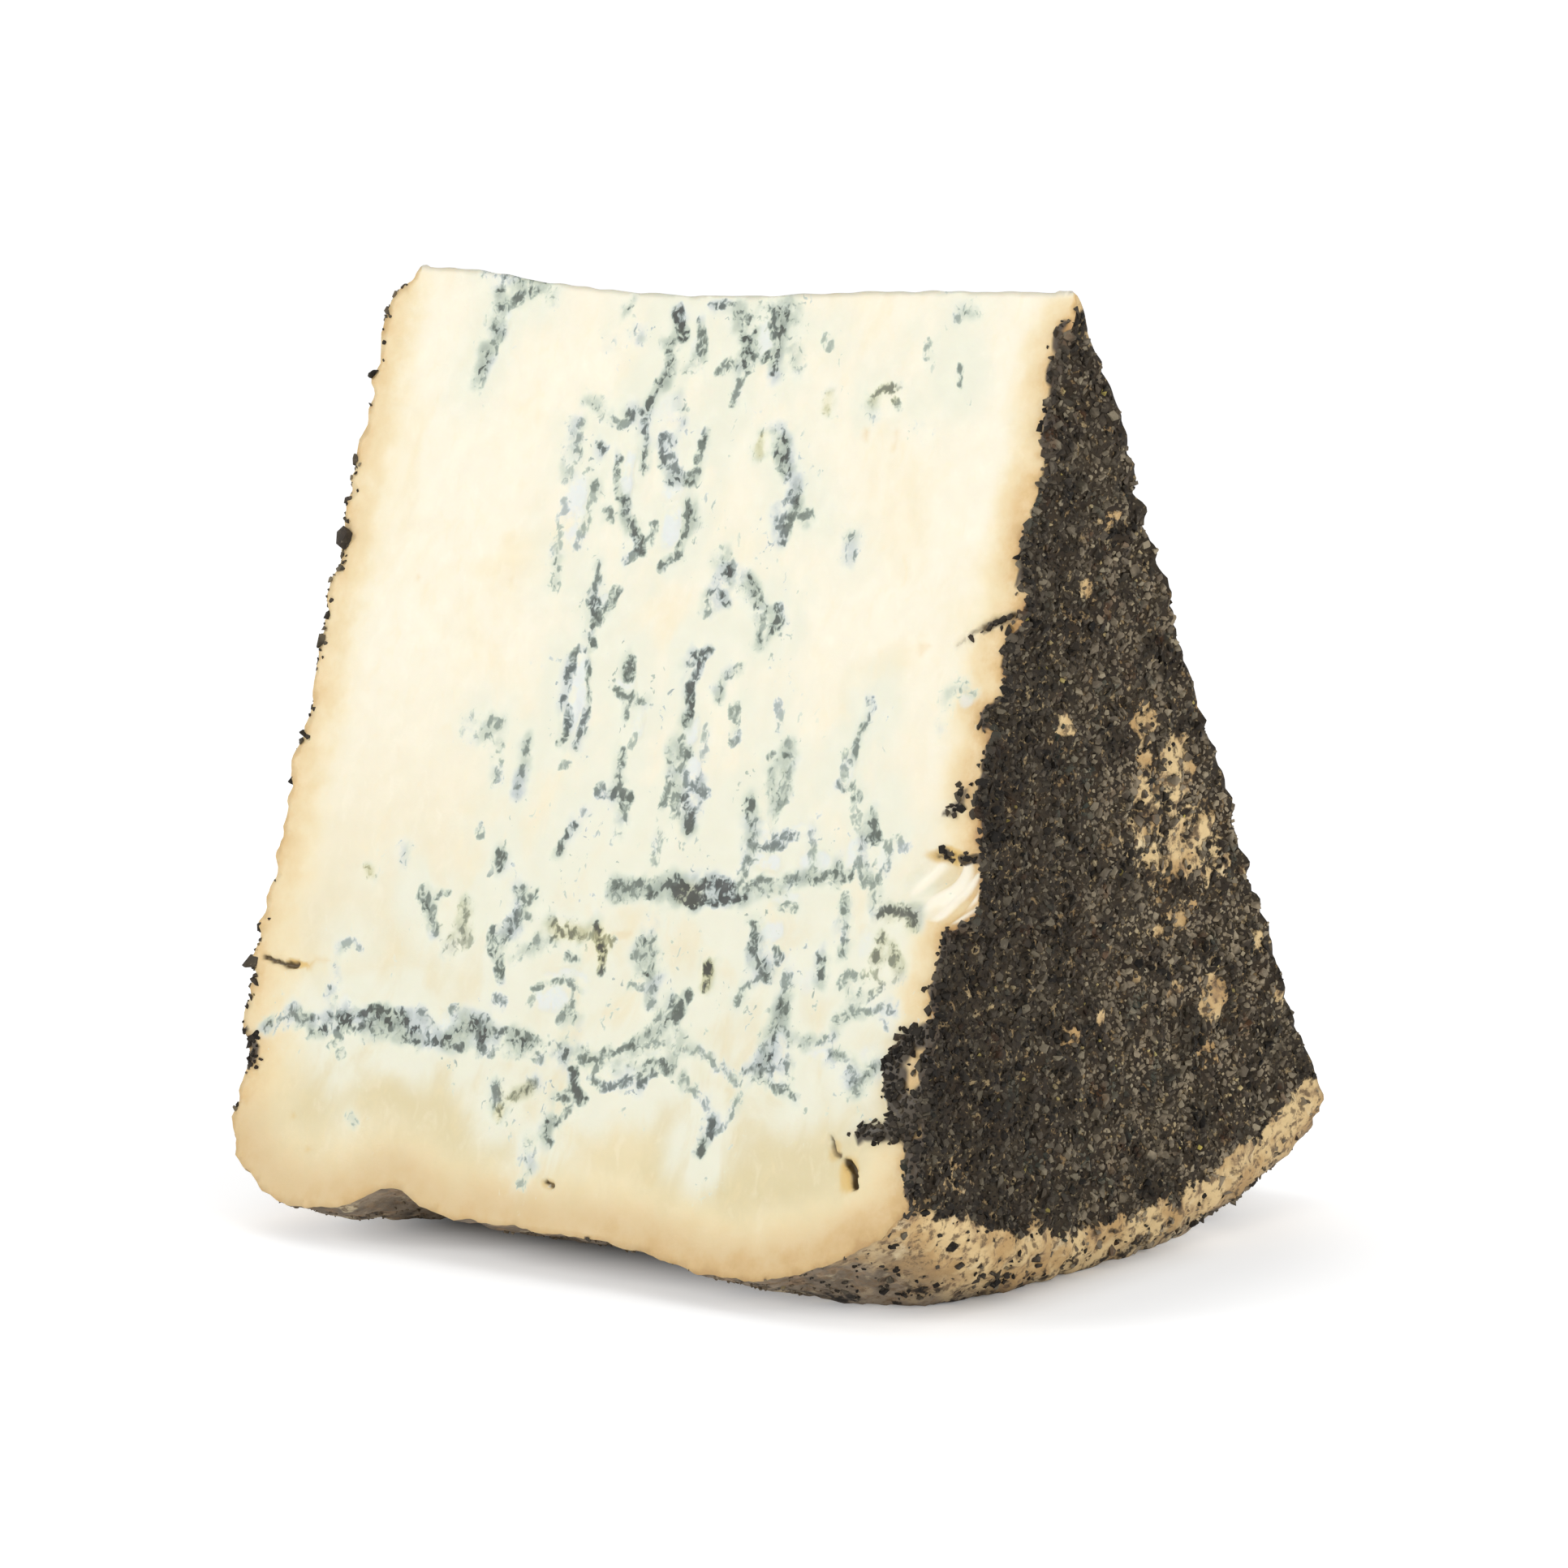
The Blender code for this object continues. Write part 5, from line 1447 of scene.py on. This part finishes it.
def paste_colour(tree):
    """Cream paste, riper and yellower below and darker there with painted shade, tan by the rind and
    darker at its foot with painted shade, paler on the torn chip with a painted highlight, with stains
    and soft clouds.
    """
    edge, zone, torn, stain = (
        named_value(tree, name) for name in ("edge", "zone", "torn", "stain")
    )
    place = add(tree, "ShaderNodeTexCoord", output="Object")
    along = add(tree, "ShaderNodeSeparateXYZ", (place,), "X")
    height = along.node.outputs["Z"]
    # lower on the face: yellower with ripeness and darker with painted shade
    low = ramped(tree, height, 70.0 * MM, 4.0 * MM)

    # the soft bulge at the lower left is the ripest
    left = ramped(tree, along, -18.0 * MM, -50.0 * MM)
    bulge = ramped(tree, height, 24.0 * MM, 8.0 * MM)
    bulge = combine(tree, "MULTIPLY", left, bulge)
    bulge = combine(tree, "MULTIPLY", bulge, 0.35)

    clouds = stretched(tree, 7.0 * MM, 4.0, 0.7)
    clouds = ramped(tree, clouds, 0.48, 0.72, 0.0, 0.55)
    mottle = stretched(tree, 0.9 * MM, 4.0, 0.5)
    pale_mottle = ramped(tree, mottle, 0.52, 0.75, 0.0, 0.14)
    ripe_mottle = ramped(tree, mottle, 0.48, 0.25, 0.0, 0.20)

    # paste by the marbling is greener, in patches
    zone_patches = stretched(tree, 3.5 * MM, 4.0, 0.5)
    zone_patches = ramped(tree, zone_patches, 0.30, 0.62, 0.35, 1.0)
    zone = combine(tree, "MULTIPLY", zone, zone_patches)
    zone = ramped(tree, zone, 0.05, 0.80, 0.0, 0.95)

    # the tan band by the rind is stronger at the right, and reaches in unevenly
    right = ramped(tree, along, -10.0 * MM, 45.0 * MM, 0.72, 1.0)
    uneven = patches(tree, (2.0 * MM, 5.0, 0.6), 0.3, 0.7, 0.75, 1.15)
    band = combine(tree, "MULTIPLY", edge, right)
    band = combine(tree, "MULTIPLY", band, uneven)
    tan = add(tree, "ShaderNodeValToRGB", (band,), stops=PASTE_EDGE)
    band = ramped(tree, band, 0.02, 0.55, 0.0, 0.95)

    # and it is tanner still where the cut face meets the rim, and darker there with painted shade near
    # the floor
    tan_and_shaded_foot = ramped(tree, edge, 0.25, 0.85, 0.0, 0.55)
    shaded_foot_height = ramped(tree, height, 19.0 * MM, 11.0 * MM)
    tan_and_shaded_foot = combine(tree, "MULTIPLY", tan_and_shaded_foot, shaded_foot_height)

    # the torn chip is paler on its raised fibres: fresh paste, and a painted highlight along them
    torn = ramped(tree, torn, 0.10, 0.60)
    stain = ramped(tree, stain, 0.05, 1.0, 0.0, 0.7)
    return laid_over(tree, PASTE_TOP, (
        (PASTE_LOW_RIPE_AND_SHADED, low), (PASTE_RIPE, bulge), (PASTE_CLOUD, clouds), ("#fbf5e6", pale_mottle),
        ("#e9d6a8", ripe_mottle), (GREEN_ZONE, zone), (tan, band), (PASTE_FOOT_TAN_AND_SHADE, tan_and_shaded_foot),
        (TORN_PASTE_AND_HIGHLIGHT, torn), ("#cda23a", stain),
    ))


def paste_material():
    """Cut paste of a blue cheese: soft, moist and slightly see-through, with blue-green mould."""
    material, tree, shader = new_material("cut_blue_cheese_paste")
    near, growth, soft, halo, zone, bloom, olive, spill, hole = (
        named_value(tree, name)
        for name in ("near", "growth", "soft", "halo", "zone", "bloom", "olive", "spill", "hole")
    )
    fine = stretched(tree, 0.42 * MM, 2.2, 0.75)
    medium = grain(tree, 1.2 * MM, 4.0, 0.6)
    broad = stretched(tree, 2.2 * MM, 2.0, 0.6)

    # mould grows as dark grains, close together in the veins, with a soft fringe
    level = combine(tree, "MULTIPLY_ADD", medium, 0.40, near)
    level = combine(tree, "SUBTRACT", level, 0.20)
    speckled = combine(tree, "MULTIPLY", level, 1.1)
    speckled = combine(tree, "MULTIPLY_ADD", fine, 1.8, speckled)
    grains = ramped(tree, speckled, 1.32, 1.72, 0.06, 1.05)
    core = ramped(tree, level, 0.38, 0.53)
    core = combine(tree, "MULTIPLY", core, grains)
    fringe = ramped(tree, level, 0.24, 0.58, 0.0, 0.38)
    vein = combine(tree, "ADD", core, fringe)
    vein = combine(tree, "MULTIPLY", vein, growth)

    # its grains are sparser in the soft smears, round which the paste is tinted
    uneven = ramped(tree, medium, 0.34, 0.60, 0.50, 1.35)
    smear = combine(tree, "MULTIPLY", soft, uneven)
    sparse = combine(tree, "MULTIPLY_ADD", smear, 0.30, fine)
    sparse = ramped(tree, sparse, 0.60, 0.76, 0.60, 2.0)
    smear = combine(tree, "MULTIPLY", smear, sparse)
    uneven = ramped(tree, broad, 0.35, 0.62, 0.3, 1.2)
    halo = combine(tree, "MULTIPLY", halo, uneven)
    amount = combine(tree, "MULTIPLY_ADD", halo, 0.38, smear)
    amount = combine(tree, "SMOOTH_MAX", amount, vein, 0.10)

    # and single specks lie between the streaks
    specks = ramped(tree, fine, 0.58, 0.70, 0.0, 0.50)
    speck_patches = ramped(tree, broad, 0.48, 0.64)
    specks = combine(tree, "MULTIPLY", specks, speck_patches)
    specks = combine(tree, "MULTIPLY", specks, zone)
    amount = combine(tree, "MAXIMUM", amount, specks)

    green, blue, olive_green = (
        add(tree, "ShaderNodeValToRGB", (amount,), stops=stops)
        for stops in (GREEN_MOULD, BLUE_MOULD, OLIVE_MOULD)
    )
    hue = patches(tree, (3.0 * MM, 2.0), 0.46, 0.64)
    mould = laid_over(tree, green, ((blue, hue), (olive_green, olive)))
    uneven = ramped(tree, medium, 0.34, 0.58, 0.25, 1.25)
    bloom = combine(tree, "MULTIPLY", bloom, uneven)
    bloom = ramped(tree, bloom, 0.08, 0.90, 0.0, 0.66)
    amount = ramped(tree, amount, 0.03, 0.30, 0.0, 0.95)
    spill = ramped(tree, spill, 0.35, 0.80, 0.0, 0.95)
    # holes and cracks: brown partly of their own, partly painted shade in the hollow
    hole = ramped(tree, hole, 0.08, 0.50)
    colour = laid_over(tree, paste_colour(tree), (
        ("#d5dbdd", bloom), (mould, amount), ("#33291f", spill), ("#57441f", hole),
    ))
    dress(tree, shader, colour, grain(tree, 0.5 * MM, 5.0, 0.65), 0.30, 0.20 * MM)
    moist = ramped(tree, medium, 0.3, 0.7, 0.45, 0.65)
    tree.links.new(moist, shader.inputs["Roughness"])
    shader.inputs["Subsurface Weight"].default_value = 0.15
    shader.inputs["Subsurface Radius"].default_value = (1.0, 0.62, 0.30)
    shader.inputs["Subsurface Scale"].default_value = 0.8 * MM
    return material


def rind_material():
    """Dry tan rind, taupe low on the rim, partly its own colour and partly painted shade, with pressed
    brown crumbs, and dark where the coat covers it, partly the crumbs' colour and partly painted shade
    between them.
    """
    material, tree, shader = new_material("dry_pressed_rind")
    rim, cover = named_value(tree, "rim"), named_value(tree, "cover")
    clouds = grain(tree, 3.0 * MM, 5.0, 0.6)
    tan_clouds = ramped(tree, clouds, 0.40, 0.62)
    taupe_clouds = ramped(tree, clouds, 0.40, 0.60)
    # the rim beneath is taupe: partly the rind's own colour, partly painted shade
    taupe_and_underside_shade = laid_over(tree, "#8a7b68", (("#685c4d", taupe_clouds),))
    rim_patches = patches(tree, (1.6 * MM, 5.0, 0.6), 0.35, 0.60, 0.90, 1.6)
    rim = combine(tree, "MULTIPLY", rim, rim_patches)
    fine = grain(tree, 0.55 * MM, 4.0, 0.65)
    speckles = ramped(tree, fine, 0.50, 0.64, 0.0, 0.85)
    # the coat's ground: dark like the crumbs, and darker still as painted shade in the gaps between
    # them
    uneven = ramped(tree, fine, 0.35, 0.6, 0.5, 1.4)
    cover = combine(tree, "MULTIPLY", cover, uneven)
    cover = ramped(tree, cover, 0.22, 0.70, 0.0, 0.96)

    # over tan, and taupe that is partly painted shade: pale patches, pressed brown crumbs, small
    # specks, and the coat's dark ground, partly painted shade between crumbs
    colour = laid_over(tree, "#dabf8e", (
        ("#bb9968", tan_clouds),
        (taupe_and_underside_shade, rim),
        ("#decda8", patches(tree, (1.6 * MM, 5.0), 0.56, 0.70, 0.0, 0.6)),
        ("#94785a", patches(tree, (1.1 * MM, 5.0, 0.6), 0.50, 0.64, 0.0, 0.70)),
        ("#6c5a44", speckles),
        ("#211b15", cover),
    ))
    dress(tree, shader, colour, grain(tree, 0.45 * MM, 5.0, 0.7), 0.7, 0.35 * MM)
    shader.inputs["Roughness"].default_value = 0.82
    shader.inputs["Specular IOR Level"].default_value = 0.3
    return material


def crumb_material(name, dust):
    """Dried, ground fruit skins: mostly dark brown, some tan, a few yellow or green with mould.

    Each crumb has its own shade. Those at the back are dustier, those by the front cut are
    darker with painted shade, and dust is how much of a flour of paste and rind lies on all of them.
    """
    material, tree, shader = new_material(name)
    shade = add(tree, "ShaderNodeValToRGB", (named_value(tree, "shade"),), stops=CRUMB_COLOURS)
    place = add(tree, "ShaderNodeTexCoord", output="Object")
    across = add(tree, "ShaderNodeSeparateXYZ", (place,), "Y")
    back = ramped(tree, across, -20.0 * MM, 14.0 * MM, 0.25, 2.0)
    dusty = patches(tree, (2.2 * MM, 4.0), 0.44, 0.64, 0.0, 0.50)
    dusty = combine(tree, "MULTIPLY", dusty, back)
    # painted shade: darker towards the front cut
    front = ramped(tree, across, 4.0 * MM, -30.0 * MM, 0.0, 0.62)

    # a reddish and a greenish few, the dusty ones, dark clumps, painted shade by the front cut, a pale
    # grain, and flour over all
    colour = laid_over(tree, shade, (
        ("#6a4526", patches(tree, (1.8 * MM, 3.0), 0.58, 0.72, 0.0, 0.45)),
        ("#565d52", patches(tree, (2.3 * MM, 3.0), 0.42, 0.30, 0.0, 0.45)),
        ("#94866f", dusty),
        ("#14110d", patches(tree, (2.6 * MM, 4.0), 0.51, 0.36, 0.0, 0.75)),
        ("#17130f", front),
        ("#8f826c", patches(tree, (0.32 * MM, 4.0, 0.7), 0.56, 0.78, 0.0, 0.6)),
        ("#85745c", dust),
    ))
    dress(tree, shader, colour, grain(tree, 0.22 * MM, 4.0, 0.7), 0.6, 0.2 * MM)
    shader.inputs["Roughness"].default_value = 0.75
    shader.inputs["Specular IOR Level"].default_value = 0.25
    return material


def crumb_shapes(draw):
    """A collection of uneven chips about a metre across, to be scaled down where they are set."""
    collection = bpy.data.collections.new("crumb_shapes")
    for index in range(CRUMB_SHAPES):
        mesh = bmesh.new()
        for _ in range(CRUMB_CORNERS):
            corner_place = Vector(draw.normal(0.0, 1.0, 3)).normalized() * draw.uniform(*CRUMB_REACH)
            corner_place.y *= draw.uniform(*CRUMB_WIDTH)
            corner_place.z *= draw.uniform(*CRUMB_HEIGHT)
            mesh.verts.new(corner_place)
        bmesh.ops.convex_hull(mesh, input=mesh.verts)
        loose = [vertex for vertex in mesh.verts if not vertex.link_faces]
        bmesh.ops.delete(mesh, geom=loose, context="VERTS")
        bmesh.ops.triangulate(mesh, faces=mesh.faces)
        data = bpy.data.meshes.new(f"crumb_shape_{index}")
        mesh.to_mesh(data)
        mesh.free()
        collection.objects.link(bpy.data.objects.new(f"crumb_shape_{index}", data))
    return collection


def scatter_tree(name, field, lightest, shapes, material):
    """A tree that scatters crumbs over a mesh by one of its fields and makes them real."""
    tree = bpy.data.node_groups.new(name, "GeometryNodeTree")
    for label, kind in (("Geometry", "NodeSocketGeometry"),) + CRUMB_INPUTS:
        tree.interface.new_socket(label, in_out="INPUT", socket_type=kind)
    tree.interface.new_socket("Geometry", in_out="OUTPUT", socket_type="NodeSocketGeometry")
    given = add(tree, "NodeGroupInput").node.outputs
    seed = given["Seed"]
    density = add(tree, "GeometryNodeInputNamedAttribute", {"Name": field})
    crowding = combine(tree, "POWER", given["Spacing"], -2.0)
    crowding = combine(tree, "MULTIPLY", crowding, CROWDING)
    points = add(tree, "GeometryNodeDistributePointsOnFaces", {
        "Mesh": given["Geometry"], "Distance Min": given["Spacing"], "Density Max": crowding,
        "Density Factor": density, "Seed": seed,
    }, distribute_method="POISSON")

    # the random value node keeps its vector range in inputs 0 and 1, and its number range in 2 and 3
    shade = add(tree, "FunctionNodeRandomValue", {3: lightest, "Seed": seed}, 1)
    shaded = add(tree, "GeometryNodeStoreNamedAttribute", {
        "Geometry": points, "Name": "shade", "Value": shade,
    })
    turn = add(tree, "FunctionNodeRandomValue", {
        0: (-CRUMB_TILT, -CRUMB_TILT, 0.0), 1: (CRUMB_TILT, CRUMB_TILT, math.tau), "Seed": seed,
    }, data_type="FLOAT_VECTOR")
    turn = add(tree, "FunctionNodeEulerToRotation", (turn,))
    turned = add(tree, "FunctionNodeRotateRotation", {
        "Rotation": points.node.outputs["Rotation"], "Rotate By": turn,
    }, rotation_space="LOCAL")
    number = add(tree, "GeometryNodeInputIndex")
    luck = add(tree, "FunctionNodeRandomValue", {"ID": number, "Seed": LUCK_SEED}, 1)
    luck = combine(tree, "POWER", luck, LUCK_POWER)
    size = add(tree, "ShaderNodeMapRange", {
        "Value": luck, "To Min": given["Smallest"], "To Max": given["Largest"],
    })
    chips = add(tree, "GeometryNodeCollectionInfo", {
        "Collection": shapes, "Separate Children": True, "Reset Children": True,
    })
    placed = add(tree, "GeometryNodeInstanceOnPoints", {
        "Points": shaded, "Instance": chips, "Pick Instance": True, "Rotation": turned, "Scale": size,
    })
    real = add(tree, "GeometryNodeRealizeInstances", {"Geometry": placed})
    coloured = add(tree, "GeometryNodeSetMaterial", {"Geometry": real, "Material": material})
    add(tree, "NodeGroupOutput", (coloured,))
    return tree


def scattered_crumbs(name, field, lightest, values, base, shapes, material):
    """One piece: the crumbs of one kind on one part of the wedge, as real mesh."""
    carrier = new_object(name + "_carrier", base.copy())
    tree = scatter_tree(name + "_scatter", field, lightest, shapes, material)
    modifier = carrier.modifiers.new(name, "NODES")
    modifier.node_group = tree
    for (label, _), value in zip(CRUMB_INPUTS, values):
        modifier[tree.interface.items_tree[label].identifier] = value
    evaluated = carrier.evaluated_get(bpy.context.evaluated_depsgraph_get())
    data = bpy.data.meshes.new_from_object(evaluated)
    for vertex in data.vertices:
        vertex.co.z = max(vertex.co.z, FLOOR_TOUCH)
    bpy.data.objects.remove(carrier, do_unlink=True)
    return new_object(name, data)


def declare(piece):
    """Say that a piece rides on the body and stands for the solid, which is hidden."""
    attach(piece, "root")
    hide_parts("cheese_wedge")


def area_light(name, place, aim, size, power):
    """A round lamp at a place, turned to what it is aimed at."""
    data = bpy.data.lights.new(name, "AREA")
    data.shape = "DISK"
    data.size = size
    data.energy = power
    item = new_object(name, data)
    direction = Vector(aim) - Vector(place)
    turned = direction.to_track_quat("-Z", "Y").to_matrix().to_4x4()
    item.matrix_world = Matrix.Translation(place) @ turned


def floor_material():
    """White studio paper that glows, with the wedge's shadow painted in: dark under the wedge, brighter
    away from it.
    """
    material, tree, shader = new_material("white_studio_paper_painted_shadow")
    shader.inputs["Base Color"].default_value = linear("#d9d9d9")
    shader.inputs["Roughness"].default_value = 0.9
    shader.inputs["Specular IOR Level"].default_value = 0.1
    shader.inputs["Emission Color"].default_value = linear("#ffffff")
    place = add(tree, "ShaderNodeTexCoord", output="Object")
    place = add(tree, "ShaderNodeVectorMath", (place, FOOT_MIDDLE), operation="SUBTRACT")
    place = add(tree, "ShaderNodeVectorMath", (place,), operation="ABSOLUTE")
    place = add(tree, "ShaderNodeVectorMath", (place, FOOT_HALF), operation="SUBTRACT")
    place = add(tree, "ShaderNodeVectorMath", (place, (0.0, 0.0, 0.0)), operation="MAXIMUM")
    away = add(tree, "ShaderNodeVectorMath", (place,), "Value", operation="LENGTH")
    # painted shadow: the glow is least under the foot and rises away from it
    shadowed_glow = FOOT_SHADOW_GLOW
    for start, end, rise in SHADOW_GLOW_RISES:
        more = ramped(tree, away, start, end, 0.0, rise)
        shadowed_glow = combine(tree, "ADD", more, shadowed_glow)
    tree.links.new(shadowed_glow, shader.inputs["Emission Strength"])
    return material


def studio_floor():
    """A white floor whose far edges turn up."""
    data = bpy.data.meshes.new("studio_floor")
    half = FLOOR_HALF
    corners = [(-half, -half, 0.0), (half, -half, 0.0), (half, half, 0.0), (-half, half, 0.0)]
    corners += [(x, y, FLOOR_LIP) for x, y, _ in corners]
    walls = [(side, 4 + side, 4 + (side + 1) % 4, (side + 1) % 4) for side in range(4)]
    data.from_pydata(corners, [], [(0, 1, 2, 3)] + walls)
    data.materials.append(floor_material())
    floor = new_object("studio_floor", data)


def photo_camera():
    """The photograph's camera: level with the wedge and turned to its front cut and right end."""
    data = bpy.data.cameras.new("photo_camera")
    data.lens = CAMERA_LENS
    data.clip_end = CAMERA_REACH
    camera = new_object("photo_camera", data)
    turn, rise, roll = (math.radians(value) for value in (CAMERA_TURN, CAMERA_RISE, CAMERA_ROLL))
    right = Vector((math.cos(turn), math.sin(turn), 0.0))
    back = Vector((math.sin(turn) * math.cos(rise), -math.cos(turn) * math.cos(rise), math.sin(rise)))
    up = back.cross(right)
    place = Vector(CAMERA_AIM) + CAMERA_SHIFT[0] * right + CAMERA_SHIFT[1] * up
    place += CAMERA_DISTANCE * back
    rolled_right = math.cos(roll) * right - math.sin(roll) * up
    rolled_up = math.sin(roll) * right + math.cos(roll) * up
    axes = Matrix((rolled_right, rolled_up, back)).transposed().to_4x4()
    camera.matrix_world = Matrix.Translation(place) @ axes
    bpy.context.scene.camera = camera


def studio():
    """A white floor, soft light from above and all round, and the photograph's camera."""
    studio_floor()
    world = bpy.data.worlds.new("studio_white")
    world.use_nodes = True
    world.node_tree.nodes["Background"].inputs["Color"].default_value = linear("#ffffff")
    world.node_tree.nodes["Background"].inputs["Strength"].default_value = WORLD_STRENGTH
    bpy.context.scene.world = world
    bpy.context.scene.view_settings.view_transform = "Standard"
    for light in LIGHTS:
        area_light(*light)
    photo_camera()


def build():
    """The wedge, its crumbs and the studio."""
    base = wedge_mesh("blue_cheese_wedge")
    face_outward(base)
    shapes = crumb_shapes(np.random.default_rng(SEED))
    loose = crumb_material("dried_pomace_crumbs", 0.0)
    pressed = crumb_material("pomace_crumbs_pressed_in", PRESSED_DUST)
    for name, (field, lightest, values) in CRUMB_PIECES.items():
        material = pressed if field == "cover_rim" else loose
        piece = scattered_crumbs(name, field, lightest, values, base, shapes, material)
        declare(piece)
    for shape in list(shapes.objects):
        bpy.data.objects.remove(shape, do_unlink=True)
    bpy.data.collections.remove(shapes)
    base.materials.append(paste_material())
    base.materials.append(rind_material())
    base.shade_smooth()
    declare(new_object("blue_cheese_wedge", base))
    studio()


build()
